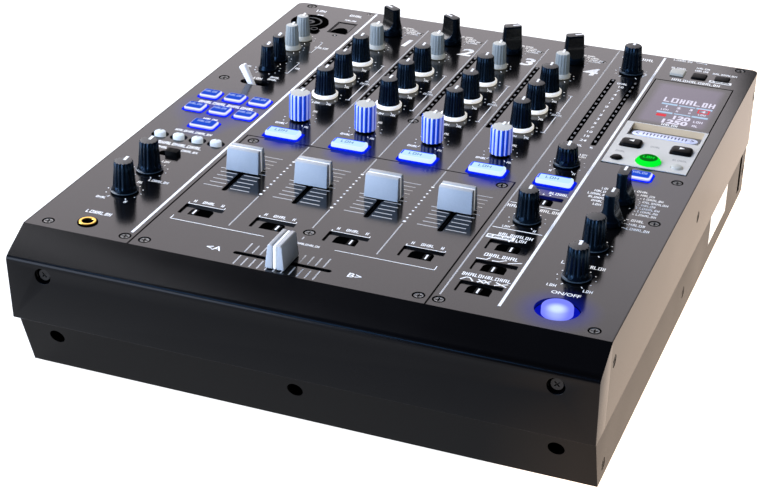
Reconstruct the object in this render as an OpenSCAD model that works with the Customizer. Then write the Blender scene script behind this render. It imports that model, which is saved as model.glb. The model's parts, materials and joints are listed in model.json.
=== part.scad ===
// Four-channel DJ mixer. Millimetres, Z up, Y towards the back.
// Places on the panel are given from its middle (x), its front edge (y) and its top face (z).

/* [Casing] */
// Width of the body
panel_w = 331; // [275:1:400]
// Depth of the top panel
panel_d = 388; // [322:1:467]
// Height of the body above its feet
body_h = 86; // [71:1:104]
// How far the nose of the front cover stands out
nose_d = 20.6; // [16:0.2:26]
// How far the bend of the nose lies below the panel
nose_drop = 11.6; // [9:0.2:14]
// Thickness of the folded sheet
sheet_t = 2; // [1.6:0.1:2.5]
// Thickness of the moulded front cover
cover_t = 2.4; // [1.8:0.1:3]
// Depth of the folded upper sides
flange_h = 50.3; // [40:0.1:62]
// How far the tray lies inside the upper sides
tray_inset = 1; // [0.8:0.1:1.2]
// How far the connector panel lies inside the back edge
rear_inset = 14; // [12:0.5:17]
// Radius of the panel's back corners
back_corner_r = 5; // [3:0.5:8]
// Height of the rubber feet
foot_h = 2.5; // [2:0.5:6]
// Radius of the rubber feet
foot_r = 9; // [7:0.5:12]

/* [Controls] */
// Radius of the potentiometer shafts
shaft_r = 3; // [2.5:0.1:3.6]
// Tallest knob above the panel
knob_h = 19.4; // [16:0.1:23.3]
// Radius of the widest knob skirts
skirt_r = 8.3; // [6.9:0.1:10]
// Travel of a fader
fader_travel = 45; // [37.5:0.5:54]
// Width of a fader cap across its travel
cap_w = 20.6; // [17:0.1:24.8]
// Length of a fader cap along its travel, at its foot
cap_d = 11; // [9:0.1:13.2]
// Height of a fader cap above the panel
cap_h = 14.4; // [12:0.1:17.3]
// Width of a fader slot
slot_w = 3.2; // [2.6:0.1:4]
// Travel of a key
key_travel = 1; // [0.8:0.1:1.2]
// Width of a cue key
cue_key_w = 21.5; // [17.9:0.1:25.8]
// Depth of a cue key
cue_key_d = 10.5; // [8.7:0.1:12.6]
// Width of an effect key
fx_key_w = 13.5; // [11.2:0.1:16.2]
// Depth of an effect key
fx_key_d = 12; // [10:0.1:14.4]
// Radius of a round parameter key
round_key_r = 4; // [3.3:0.1:4.8]
// Radius of the tap key
tap_key_r = 7.5; // [6.2:0.1:9]
// Height of the flat keys above the panel
key_h = 3; // [2.2:0.1:3.6]
// Radius of the round effect button
button_r = 9.7; // [8:0.1:11.6]
// Height of the round effect button
button_h = 5; // [4:0.1:6]
// Half the throw of a three-way slide switch
switch_throw = 3.4; // [2.8:0.1:4.1]

/* [Sockets] */
// Radius of the microphone socket
mic_r = 13; // [11.5:0.1:15.6]
// Bore of the jack sockets
jack_r = 3.2; // [2.7:0.05:3.8]
// Radius of the phono collars
rca_r = 4.2; // [3.5:0.1:5]

/* [Hidden] */
$fn = 48;

// Running clearances
gap = 0.3;
shaft_gap = 0.05;
hover = 0.4;

// The panel's layout is drawn at this size and spreads with the real panel
drawn_w = 331;
drawn_d = 388;
drawn_h = 86;
function across(x) = x * panel_w / drawn_w;
function along(y) = y * panel_d / drawn_d;
function down(z) = z * body_h / drawn_h;
channel_pitch = 43.33;
channel_1_x = -82.4;
function channel_x(i) = channel_1_x + channel_pitch * (i - 1);
fader_box = [-101.3, 0, 67, 156];

// Frame: origin under the middle of the whole object
front_y = -(panel_d + nose_d) / 2 + nose_d;
top_z = foot_h + body_h;

// Casing
fold_t = 1.2;
side_t = tray_inset;
tray_w = panel_w - 2 * tray_inset;
tray_front_y = 7.1 - nose_d;
tray_foot_y = -0.2;
cover_foot_y = 2.9 - nose_d;
tray_d = panel_d - 4;
tray_lap = 8;
bend_r = 3;
ledge_w = 4;
ledge_t = 1.2;
ledge_out = 2;
window_gap = 1;
rear_y = panel_d - rear_inset - fold_t;
socket_face_y = panel_d - rear_inset;
back_fold_h = 12;
chassis_floor = -body_h;

// Screws: radii, length, clearances, how deep a countersunk head lies and the width of its cross
screw_head_r = 3.3;
small_head_r = 1.9;
screw_shank_r = 1.5;
screw_len = 6;
shank_clear = 0.1;
head_clear = 0.2;
head_sink = 0.16;
head_cone = 1.69;
cross_w = 0.7;
side_head_t = 0.8 * side_t;
side_screw_len = 5;
cover_screw_x = 143.5;
cover_screw_z = -19.3;
cover_hole_r = 4.8;
cover_hole_d = 7;
cover_post = nose_d - 2;
cover_post_t = 1.6;
cover_seat = cover_post - cover_hole_d;
cover_head_t = 2;
tray_hole_r = 4.5;
tray_hole_x = 143.5;
tray_slope_t = 1.6;
vent_pitch = 12;
vent_w = 4;
vent_len = 60;
vent_y = 250;
tray_hole_z = -flange_h - 0.34 * (body_h - flange_h);
foot_x = 138;
foot_y = [28, 355];

// Boards and what stands on them
board_t = 1.6;
board_gap = 7;
control_board_z = -16;
main_board_z = 16 - body_h;
bush_r = 4.4;
pot_w = 10;
pot_top = -4.2;
shaft_bottom = -9;
key_bottom = -4;
track_w = 11;
track_end = 8;
blade_t = 1;
blade_w = 5;
blade_bottom = -9;
cap_bottom = 0.6;
cap_top_d = 0.72 * cap_d;
cap_dip_d = 0.24 * cap_d;
cap_dip = 0.8;

// Screws in the top panel: place on the panel
panel_screws = [
    [-154.2, 7.3], [154.2, 7.3], [-107, 7.4], [72.5, 7.4], [-17, 217], [-154.5, 235],
    [154.1, 193.5], [154.1, 136], [-154.2, 383], [154.2, 383]
];
fader_screws = [[-95.2, 7.4], [61.6, 7.4], [-95.3, 150], [61.5, 150], [-17, 50.5]];
small_screws = [[-110, 384], [47.5, 384], [-63.3, 361.5], [-19.7, 361.5], [23, 361.5], [66.3, 361.5]];
// Screws in the sides: place along the side and height
side_screws = [[7.7, -15], [210, -27.3], [380, -14.7]];
tray_screws = [[8.5, 9 - body_h], [192.7, 16.4 - body_h], [378, 17.4 - body_h]];

// Knob kinds: skirt radius, skirt height, foot radius, top radius, height
function knob_size(kind) =
    kind == "eq" ? [skirt_r, 3, 6.5, 6, knob_h] :
    kind == "level" ? [skirt_r, 3.4, 7, 6.1, knob_h - 0.4] :
    kind == "balance" ? [skirt_r, 3.4, 7, 6.1, knob_h - 7.4] :
    kind == "trim" ? [skirt_r - 2.4, 1.6, 5.5, 4.8, knob_h - 2.4] :
    kind == "mic" ? [skirt_r - 2.1, 1.6, 5, 4, knob_h - 2.4] :
    kind == "colour" ? [skirt_r - 1.5, 1, skirt_r - 1.5, skirt_r - 1.8, knob_h - 0.7] :
    [skirt_r - 0.8, 4, skirt_r - 1.2, skirt_r - 1.4, knob_h];

selector_lean = 56;
grip_w = 6;
pointer_w = 1.2;
pointer_depth = 0.4;
// Every turning control: node name, x, y, kind, angle of its pointer at rest
channel_knobs = [for (i = [1:4]) each [
    [str("trim_knob_", i), channel_x(i), 324.5, "trim", 0],
    [str("high_knob_", i), channel_x(i), 294.2, "eq", 0],
    [str("mid_knob_", i), channel_x(i), 263.2, "eq", 0],
    [str("low_knob_", i), channel_x(i), 232.2, "eq", 0],
    [str("colour_knob_", i), channel_x(i), 191.5, "colour", 0],
    [str("input_selector_", i), channel_x(i), 354, "selector", i < 3 ? selector_lean : -selector_lean]
]];
side_knobs = [
    ["mic_level_knob_1", -134.5, 319.5, "mic", 0],
    ["mic_level_knob_2", -134.5, 300.5, "mic", 0],
    ["mic_high_knob", -134.5, 278, "mic", 0],
    ["mic_low_knob", -134.5, 259.5, "mic", 0],
    ["phones_mixing_knob", -133.4, 88, "level", 0],
    ["phones_level_knob", -133.4, 57, "level", 0],
    ["master_level_knob", 88, 351, "level", 0],
    ["balance_knob", 88, 193, "balance", 0],
    ["booth_level_knob", 88, 112, "level", 0],
    ["effect_selector", 130.5, 157, "selector", 0],
    ["effect_channel_selector", 131, 126.5, "selector", 0],
    ["effect_time_knob", 130.5, 94.5, "level", 0],
    ["effect_depth_knob", 131.2, 57.5, "level", 0]
];
knobs = concat(channel_knobs, side_knobs);

// Faders: node name, middle of travel x, y, turn of the slot, place of the cap along its travel
fader_y = 108;
cross_y = 13.4;
cross_x = -17.1;
fader_rest = [2.8, 1.6, 1.2, 2.4];
faders = concat(
    [for (i = [1:4]) [str("channel_fader_", i), channel_x(i), fader_y, 0, fader_rest[i - 1]]],
    [["crossfader", cross_x, cross_y, -90, 0]]
);

// Keys: x, y, width, depth, corner radius, height
cue_y = 165.2;
key_r = 1.6;
small_key = 9.3;
small_key_h = 1.2;
mode_key_r = 3.5;
small_key_r = 0.8;
round_key_play = 3;
cue_keys = [
    for (x = concat([for (i = [1:4]) channel_x(i)], [88.4])) [x, cue_y, cue_key_w, cue_key_d, key_r, key_h]
];
colour_fx_keys = [
    for (y = [204.2, 182]) for (x = [-149.5, -132.5, -115.5]) [x, y, fx_key_w, fx_key_d, key_r, key_h]
];
plain_keys = concat(
    [[-132.7, 159.5, fx_key_w + 4, fx_key_d, key_r, key_h], [133, 193, fx_key_w - 0.5, fx_key_d - 1, key_r, key_h]],
    [for (p = [[116.7, 362], [131.3, 361], [146.2, 362]]) [p[0], p[1], small_key, small_key, small_key_r, small_key_h]]
);
round_keys = [
    for (x = [-151.2, -138.7, -126.2, -113.9]) [x, 136.5, 2 * round_key_r, 2 * round_key_r, round_key_r, key_h]
];
panel_key_list = concat(cue_keys, colour_fx_keys, plain_keys, round_keys);
plate_keys = concat(
    [for (x = [116.3, 147]) [x, 236.5, fx_key_w - 0.5, fx_key_d - 1, key_r, key_h]],
    [for (x = [112.8, 149.3]) [x, 213.5, 2 * mode_key_r, 2 * mode_key_r, mode_key_r, key_h - 0.8]],
    [[131.7, 215.5, 2 * tap_key_r, 2 * tap_key_r, tap_key_r, key_h + 1]]
);
button_x = 131.2;
button_y = 21.3;
button_well_r = button_r + 2.3;
button_edge = 1.5;
button_crown = 2.5;
button_rim_h = 1.6;

// Slide switches: x, y of the slot, offset of the knob at rest
slide_w = 6;
slide_r = 1;
slot_len = slide_w + 2 * (switch_throw + gap);
slot_d = 8;
assign_y = 49;
master_switch_x = 88;
stereo_switch_x = 87.9;
two_way = 2.1;
assign_first = [[channel_x(1), assign_y, -switch_throw]];
assign_rest = [for (i = [2:4]) [channel_x(i), assign_y, switch_throw]];
curve_list = [[master_switch_x, 49.5, 0], [master_switch_x, 24, 0]];
stereo_list = [[stereo_switch_x, 138, two_way], [stereo_switch_x, 75, two_way]];
recess_w = 23.6;
recess_d = 12.6;
recess_depth = 1.2;
recess_shift = 1.8;
well_t = 2;
slide_bottom = -5.2;
slide_h = 4.6;
split_x = -133;
split_y = 113;
split_w = 14;
split_d = 7;
split_knob_w = 6;
split_knob_d = 5.6;
split_knob_h = 9;

// Microphone lever
lever_x = -132.5;
lever_y = 235;
lever_slot_w = 20;
lever_slot_d = 8;
lever_len = 19;
lever_pivot = -6;
lever_lean = 27;
lever_w = 4.4;
lever_barrel_r = 2.6;
cradle_w = 9;
lever_t = 2.6;

// Windows and plate
window_t = 1;
meter_y0 = 226;
meter_y1 = 334.5;
meter_w = 3.4;
meter_shift = -19;
master_meters = [80.3, 95.2];
display_box = [105.7, 271, 156.2, 346.5];
plate_box = [105.7, 205.3, 156.5, 270.5];
plate_proud = 0.5;
strip_box = [110, 250, 154.5, 269.5];
strip_depth = 2.6;

// Top sockets
mic_x = -143;
mic_y = 352;
mic_depth = 22;
jack_depth = 24;
phones_x = -133.5;
phones_y = 14;
phones_r = jack_r + 2.4;
latch_x = -133.5;
latch_y = 337.5;
latch_r = 3.6;
usb_box = [-125, 339, -110.5, 361.5];
usb_depth = 12;
usb_wall = 1;
xlr_gap_r0 = 7.4;
xlr_gap_r1 = 9.8;

// Vertical notch in the back of the tray's sides
notch_y = 363;
notch_w = 8;
notch_top = 2;
notch_bottom = 6;

// Rear sockets: x and height below the panel
rca_holes = concat(
    [for (x = [-46, -14, 22, 58, 94]) for (z = [-20, -36, -56, -72]) [x, z]],
    [[-138, -20]]
);
rca_len = 7.6;
rca_bore_r = 1.65;
earth_r = 2;
earth_head_r = 4;
xlr_places = [[-104, -58], [-74, -58]];
xlr_r = 9.6;
xlr_depth = 14;
rear_jacks = [[-104, -24], [-74, -24]];
earth_posts = [[4, -46], [76, -46]];
lan_place = [138, -22];
lan_size = [11.8, 7.4];
usb_b_places = [[138, -46], [138, -68]];
usb_b_size = [8.6, 7.8];
inlet_place = [-136, -58];
inlet_size = [24, 16.6];
socket_depth = 14;
socket_wall = 1.4;
pin_r = 1.2;
pin_ring_r = 4.2;
mic_floor = 3;

// Moves its children to a place on the panel
module at(x, y, z = 0) translate([across(x), front_y + along(y), top_z + z]) children();

// Points of a rectangle with round corners
function round_points(w, d, r) = [
    for (c = [[1, 1, 0], [-1, 1, 90], [-1, -1, 180], [1, -1, 270]]) for (i = [0:4])
        let(a = c[2] + i * 22.5) [c[0] * (w / 2 - r) + r * cos(a), c[1] * (d / 2 - r) + r * sin(a)]
];

// Points of an arc
function arc_points(x, y, r, a0, a1, n) = [
    for (i = [0:n]) let(a = a0 + (a1 - a0) * i / n) [x + r * cos(a), y + r * sin(a)]
];

// An upright block with round corners, or a cylinder where the corners meet
module block(w, d, r, h) {
    if (r >= w / 2 && r >= d / 2) cylinder(r = r, h = h);
    else linear_extrude(h) polygon(round_points(w, d, r));
}

// A slot with round ends along X
module slot(w, d, h) {
    translate([-(w - d) / 2, -d / 2, 0]) cube([w - d, d, h]);
    for (s = [-1, 1]) translate([s * (w - d) / 2, 0, 0]) cylinder(d = d, h = h);
}

// A box between two corners of the panel's layout
module panel_box(b, z0, z1, grow = 0) {
    x0 = across(b[0]) - grow;
    y0 = along(b[1]) - grow;
    translate([x0, front_y + y0, top_z + z0])
        cube([across(b[2]) + grow - x0, along(b[3]) + grow - y0, z1 - z0]);
}

// The whole top face, with its round back corners
module top_outline() {
    w = panel_w / 2;
    r = back_corner_r;
    polygon(concat([[-w, 0], [w, 0]], arc_points(w - r, panel_d - r, r, 0, 90, 6),
        arc_points(r - w, panel_d - r, r, 90, 180, 6)));
}

// Countersunk hole at a place on the panel
module countersink(p, head_r) {
    at(p[0], p[1], -sheet_t - 1) cylinder(r = screw_shank_r + shank_clear, h = sheet_t + 2);
    at(p[0], p[1], -head_sink - head_cone)
        cylinder(r1 = screw_shank_r + shank_clear, r2 = head_r + head_clear, h = head_cone + 0.01);
    at(p[0], p[1], -head_sink) cylinder(r = head_r + head_clear, h = 1);
}

// Countersunk screw with a cross in its head
module screw(head_r) {
    cone = head_cone - 0.09;
    difference() {
        union() {
            translate([0, 0, -head_clear - cone]) cylinder(r1 = screw_shank_r, r2 = head_r, h = cone);
            translate([0, 0, -screw_len]) cylinder(r = screw_shank_r, h = screw_len - cone + 0.1);
        }
        cross(head_r * 1.1, -1);
    }
}

// Cut for a cross-head driver
module cross(w, z) for (a = [0, 90]) rotate(a) translate([-w / 2, -cross_w / 2, z]) cube([w, cross_w, 2]);

// Where a slide switch lies: shallow recess, slot and its well
module slide_recess(s) {
    at(s[0], s[1], -recess_depth) translate([0, recess_shift, 0]) block(recess_w, recess_d, slide_r, 3);
    at(s[0], s[1], -10) block(slot_len, slot_d, slide_r, 20);
}
module slide_well(s) {
    at(s[0], s[1], -sheet_t - well_t)
        translate([0, recess_shift / 2, 0]) block(recess_w, recess_d + 1, slide_r, well_t + 0.1);
}

// Where a key comes through the panel: a close outline, or a short slot for a round key
module key_hole(k) at(k[0], k[1], -10) {
    if (k[4] == round_key_r) slot(k[2] + round_key_play, k[3] + 2 * gap, 20);
    else block(k[2] + 2 * gap, k[3] + 2 * gap, k[4] + gap, 20);
}

module control_panel() color("#3f3e40") difference() {
    union() {
        translate([0, front_y, top_z - sheet_t]) linear_extrude(sheet_t) top_outline();
        for (s = [-1, 1])
            translate([s > 0 ? panel_w / 2 - side_t : -panel_w / 2, front_y, top_z - flange_h])
                cube([side_t, panel_d - back_corner_r, flange_h - sheet_t / 2]);
        translate([-panel_w / 2, front_y, top_z - flange_h])
            cube([panel_w, fold_t, flange_h - sheet_t]);
        translate([-panel_w / 2 + back_corner_r, front_y + panel_d - fold_t, top_z - back_fold_h])
            cube([panel_w - 2 * back_corner_r, fold_t, back_fold_h - sheet_t / 2]);
        intersection() {
            panel_box(fader_box, -sheet_t - ledge_t, -sheet_t, window_gap + ledge_out);
            translate([-panel_w / 2, front_y, 0]) cube([panel_w, panel_d, top_z]);
        }
        for (s = concat(curve_list, stereo_list)) slide_well(s);
    }
    panel_box(fader_box, -sheet_t, 1, window_gap);
    panel_box(fader_box, -9, 1, window_gap - ledge_w);
    for (k = knobs) at(k[1], k[2], -10) cylinder(r = shaft_r + 0.6, h = 20);
    for (k = panel_key_list) key_hole(k);
    for (s = concat(curve_list, stereo_list)) slide_recess(s);
    at(split_x, split_y, -10) slot(split_w, split_d, 20);
    at(lever_x, lever_y, -10) slot(lever_slot_w, lever_slot_d, 20);
    at(button_x, button_y, -10) cylinder(r = button_well_r, h = 20);
    for (i = [1:4]) panel_box(meter_box(channel_x(i) + meter_shift), -window_t, 1);
    for (x = master_meters) panel_box(meter_box(x), -window_t, 1);
    panel_box(display_box, -window_t, 1);
    panel_box(plate_box, -10, 1);
    at(mic_x, mic_y, -10) cylinder(r = mic_r, h = 20);
    at(latch_x, latch_y, -10) cylinder(r = latch_r + gap, h = 20);
    at(phones_x, phones_y, -10) cylinder(r = phones_r, h = 20);
    panel_box(usb_box, -10, 1);
    for (p = panel_screws) countersink(p, screw_head_r);
    for (p = small_screws) countersink(p, small_head_r);
    for (p = fader_screws) at(p[0], p[1], -8) cylinder(r = screw_shank_r + shank_clear, h = 7);
    for (s = [-1, 1]) {
        for (p = side_screws) side_hole(s, p);
        translate([s * across(cover_screw_x), front_y - 1, top_z + cover_screw_z])
            rotate([-90, 0, 0]) cylinder(r = screw_shank_r + shank_clear, h = 4);
    }
}

function meter_box(x) = [x - meter_w / 2, meter_y0, x + meter_w / 2, meter_y1];

// Countersunk hole in a side wall: s is the side, p its place along the side and its height
module side_hole(s, p) {
    translate([s * panel_w / 2, front_y + along(p[0]), top_z + p[1]]) rotate([0, s * 90, 0]) {
        translate([0, 0, -side_screw_len]) cylinder(r = screw_shank_r + shank_clear, h = side_screw_len + 1);
        translate([0, 0, -side_head_t]) cylinder(r = screw_head_r + head_clear, h = 3);
    }
}
module side_screw(s, p, inset) {
    translate([s * (panel_w / 2 - inset), front_y + along(p[0]), top_z + p[1]]) rotate([0, s * 90, 0])
        difference() {
            union() {
                translate([0, 0, -side_head_t]) cylinder(r = screw_head_r, h = side_head_t * 0.75);
                translate([0, 0, -side_screw_len]) cylinder(r = screw_shank_r, h = side_screw_len - side_head_t * 0.8);
            }
            cross(screw_head_r * 1.1, -side_head_t * 0.7);
        }
}

module fader_panel() color("#38383a") difference() {
    union() {
        panel_box(fader_box, -sheet_t, 0);
        for (s = concat(assign_first, assign_rest)) slide_well(s);
    }
    for (f = faders) at(f[1], f[2], -10) rotate(f[3] + 90)
        slot(fader_travel + blade_w + 2 * slot_w, slot_w, 20);
    for (s = concat(assign_first, assign_rest)) slide_recess(s);
    for (p = fader_screws) countersink(p, screw_head_r);
}

// Outline of the front cover from its side, pulled in by t: its slope, the bend of its nose and its face
module cover_outline(t) {
    slope = atan2(nose_drop, nose_d);
    lean = atan2(nose_d + cover_foot_y, flange_h - nose_drop);
    cx = -nose_d + bend_r;
    cz = -(nose_d - bend_r) * tan(slope) - bend_r / cos(slope);
    polygon(concat(
        [[0, -t / cos(slope)]],
        arc_points(cx, cz, bend_r - t, 90 + slope, 180 + lean, 6),
        [[cover_foot_y + t, -flange_h + t], [0, -flange_h + t]]
    ));
}

module front_cover() color("#23262a") {
    difference() {
        union() {
            difference() {
                cover_block(0, panel_w);
                cover_block(cover_t, panel_w - 2 * cover_t);
            }
            for (s = [-1, 1]) translate([s * across(cover_screw_x), front_y, top_z + cover_screw_z])
                rotate([90, 0, 0]) cylinder(r = cover_hole_r + cover_post_t, h = cover_post - 1);
        }
        for (s = [-1, 1]) translate([s * across(cover_screw_x), front_y, top_z + cover_screw_z])
            rotate([90, 0, 0]) {
                translate([0, 0, cover_seat]) cylinder(r = cover_hole_r, h = 20);
                translate([0, 0, -1]) cylinder(r = screw_shank_r + shank_clear, h = cover_post);
            }
    }
}
module cover_block(t, w) translate([-w / 2, front_y, top_z])
    rotate([90, 0, 90]) linear_extrude(w) cover_outline(t);

module bottom_tray() color("#2e2c2b") difference() {
    union() {
        translate([-tray_w / 2, front_y, top_z - body_h]) cube([tray_w, tray_d, fold_t]);
        for (s = [-1, 1])
            translate([s > 0 ? tray_w / 2 - fold_t : -tray_w / 2, front_y, top_z - body_h]) {
                cube([fold_t, tray_d, body_h - flange_h]);
                translate([0, fold_t, 0]) cube([fold_t, tray_d - fold_t, body_h - flange_h + tray_lap]);
            }
        translate([-tray_w / 2, front_y, top_z]) rotate([90, 0, 90]) linear_extrude(tray_w)
            polygon([[tray_foot_y, -body_h], [tray_front_y, -flange_h], [1, -flange_h],
                [1, -flange_h - fold_t], [tray_front_y + tray_slope_t, -flange_h - fold_t],
                [tray_foot_y + fold_t, -body_h + fold_t], [1, -body_h]]);
        for (s = [-1, 1]) translate([s > 0 ? tray_w / 2 - fold_t : -tray_w / 2, front_y, top_z])
            rotate([90, 0, 90]) linear_extrude(fold_t)
                polygon([[tray_foot_y, -body_h], [tray_front_y, -flange_h], [1, -flange_h], [1, -body_h]]);
    }
    for (x = [-tray_hole_x, 0, tray_hole_x])
        translate([across(x), front_y - 20, top_z + tray_hole_z]) rotate([-90, 0, 0]) cylinder(r = tray_hole_r, h = 19);
    for (s = [-1, 1]) for (p = tray_screws) translate([-s * tray_inset, 0, 0]) side_hole(s, p);
    for (s = [-1, 1]) for (p = side_screws) if (p[1] < -flange_h + tray_lap) side_hole(s, p);
    for (i = [-5:5]) translate([i * vent_pitch - vent_w / 2, front_y + along(vent_y), top_z - body_h - 1])
        cube([vent_w, vent_len, 4]);
    translate([-panel_w, front_y + along(notch_y), top_z - body_h + notch_bottom])
        cube([2 * panel_w, notch_w, body_h - flange_h - notch_top - notch_bottom]);
}

module rear_panel() color("#2b2b2d") difference() {
    translate([-tray_w / 2 + fold_t, front_y + rear_y, top_z - body_h + fold_t])
        cube([tray_w - 2 * fold_t, fold_t, body_h - fold_t - sheet_t]);
    rear_each(rca_holes) cylinder(r = rca_r, h = 20, center = true);
    rear_each(xlr_places) cylinder(r = xlr_r + socket_wall, h = 20, center = true);
    rear_each(rear_jacks) cylinder(r = phones_r, h = 20, center = true);
    rear_each(earth_posts) cylinder(r = earth_r, h = 20, center = true);
    rear_each([lan_place]) socket_block(lan_size, socket_wall, -10, 20);
    rear_each(usb_b_places) socket_block(usb_b_size, socket_wall, -10, 20);
    rear_each([inlet_place]) socket_block(inlet_size, socket_wall, -10, 20);
}

// Puts its children at places on the connector panel, with their own Z pointing backwards
module rear_each(places) for (p = places)
    translate([across(p[0]), front_y + socket_face_y, top_z + down(p[1])]) rotate([-90, 0, 0]) children();
module socket_block(size, grow, z, h) translate([-size[0] / 2 - grow, -size[1] / 2 - grow, z])
    cube([size[0] + 2 * grow, size[1] + 2 * grow, h]);

module effects_plate() color("#c8c3bc") difference() {
    panel_box(plate_box, -sheet_t - strip_depth, plate_proud);
    translate([0, 0, -sheet_t - strip_depth]) panel_box(plate_box, -1, 2 * sheet_t - 1, -sheet_t);
    translate([across(strip_box[0]), front_y, top_z + plate_proud])
        rotate([90, 0, 90]) linear_extrude(across(strip_box[2]) - across(strip_box[0]))
            polygon([[along(strip_box[1]), 1], [along(strip_box[1]), -0.8 - plate_proud],
                [along(strip_box[3]) - 3.5, -strip_depth - plate_proud], [along(strip_box[3]), 0.01],
                [along(strip_box[3]), 1]]);
    for (k = plate_keys) key_hole(k);
}

module display_windows() color("#15151a") {
    for (i = [1:4]) panel_box(meter_box(channel_x(i) + meter_shift), -window_t, -0.1);
    for (x = master_meters) panel_box(meter_box(x), -window_t, -0.1);
    panel_box(display_box, -window_t, -0.1);
}

module sockets() color("#161616") {
    at(mic_x, mic_y) difference() {
        translate([0, 0, -mic_depth]) cylinder(r = mic_r, h = mic_depth);
        translate([0, 0, -mic_depth + mic_floor]) difference() {
            cylinder(r = xlr_gap_r1, h = mic_depth);
            cylinder(r = xlr_gap_r0, h = mic_depth - 4);
        }
        translate([0, 0, -mic_depth - 1]) cylinder(r = jack_r, h = mic_depth + 2);
    }
    at(latch_x, latch_y, -10) cylinder(r = latch_r, h = 9.6);
    at(phones_x, phones_y) difference() {
        translate([0, 0, -jack_depth - 1]) cylinder(r = phones_r, h = jack_depth + 1.4);
        translate([0, 0, -jack_depth]) cylinder(r = jack_r, h = jack_depth + 2);
    }
    difference() {
        panel_box(usb_box, -usb_depth - usb_wall, -0.2);
        panel_box(usb_box, -usb_depth, 1, -usb_wall);
    }
    rear_each(rca_holes) difference() {
        translate([0, 0, -6]) cylinder(r = rca_r, h = rca_len + 6);
        translate([0, 0, -3]) cylinder(r = rca_bore_r, h = rca_len + 4);
    }
    rear_each(xlr_places) {
        difference() {
            translate([0, 0, -xlr_depth - 2]) cylinder(r = xlr_r + socket_wall, h = xlr_depth + 4);
            translate([0, 0, -xlr_depth]) cylinder(r = xlr_r, h = xlr_depth + 3);
        }
        for (a = [30, 150, 270]) rotate(a) translate([pin_ring_r, 0, -xlr_depth - 0.01]) cylinder(r = pin_r, h = 9);
    }
    rear_each(rear_jacks) difference() {
        translate([0, 0, -jack_depth]) cylinder(r = phones_r, h = jack_depth + 1.5);
        translate([0, 0, -jack_depth + 1]) cylinder(r = jack_r, h = jack_depth + 2);
    }
    rear_each(earth_posts) {
        translate([0, 0, -6]) cylinder(r = earth_r, h = 7);
        translate([0, 0, 0.5]) cylinder(r = earth_head_r, h = 6);
    }
    rear_each([lan_place]) hollow_socket(lan_size);
    rear_each(usb_b_places) hollow_socket(usb_b_size);
    rear_each([inlet_place]) {
        hollow_socket(inlet_size);
        for (p = [[-7, 2], [7, 2], [0, -3]])
            translate([p[0] - 1, p[1] - 2, -socket_depth - 0.01]) cube([2, 4, 8]);
    }
}
module hollow_socket(size) difference() {
    socket_block(size, socket_wall, -socket_depth - 1.5, socket_depth + 3);
    socket_block(size, 0, -socket_depth, socket_depth + 3);
}

module screws() color("#1a1a1a") {
    for (p = concat(panel_screws, fader_screws)) at(p[0], p[1]) screw(screw_head_r);
    for (p = small_screws) at(p[0], p[1]) screw(small_head_r);
    for (s = [-1, 1]) {
        for (p = side_screws) side_screw(s, p, 0);
        for (p = tray_screws) side_screw(s, p, tray_inset);
        translate([s * across(cover_screw_x), front_y - cover_seat, top_z + cover_screw_z])
            rotate([90, 0, 0]) {
                difference() {
                    cylinder(r = screw_head_r, h = cover_head_t);
                    rotate(45) cross(screw_head_r * 1.1, cover_head_t / 2);
                }
                translate([0, 0, -cover_seat - 3]) cylinder(r = screw_shank_r, h = cover_seat + 3.5);
            }
    }
}

module feet() color("#1c1c1c")
    for (s = [-1, 1]) for (y = foot_y) at(s * foot_x, y, -body_h - foot_h) {
        cylinder(r1 = foot_r - 0.8, r2 = foot_r, h = foot_h);
    }

// Potentiometer under a knob, standing on the control board
module pot(x, y) difference() {
    union() {
        at(x, y, control_board_z) translate([-pot_w / 2, -pot_w / 2, 0])
            cube([pot_w, pot_w, pot_top - control_board_z]);
        at(x, y, pot_top - 0.5) cylinder(r = bush_r, h = -sheet_t - pot_top + 0.5);
    }
    at(x, y, shaft_bottom - 0.5) cylinder(r = shaft_r + shaft_gap, h = 20);
}

// Fader track under a slot
module track(f) difference() {
    at(f[1], f[2], control_board_z) rotate(f[3]) translate([-track_w / 2, -fader_travel / 2 - track_end, 0])
        cube([track_w, fader_travel + 2 * track_end, -sheet_t - control_board_z]);
    at(f[1], f[2], blade_bottom - 1) rotate(f[3])
        translate([-blade_t / 2 - gap, -(fader_travel + blade_w) / 2 - gap, 0])
            cube([blade_t + 2 * gap, fader_travel + blade_w + 2 * gap, 20]);
}

// Ears that carry the barrel of the microphone lever
module lever_cradle() at(lever_x, lever_y, control_board_z) difference() {
    ear = lever_w / 2 + gap;
    translate([-cradle_w / 2, -ear - 1.5, 0]) cube([cradle_w, 2 * ear + 3, lever_pivot - control_board_z + 1.5]);
    translate([-cradle_w, -ear, lever_pivot - control_board_z - lever_barrel_r - gap])
        cube([2 * cradle_w, 2 * ear, 20]);
}

// Push switch under a key
module key_switch(k) at(k[0], k[1], control_board_z)
    cylinder(r = 2.4, h = key_bottom - key_travel - 0.6 - control_board_z);

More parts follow.
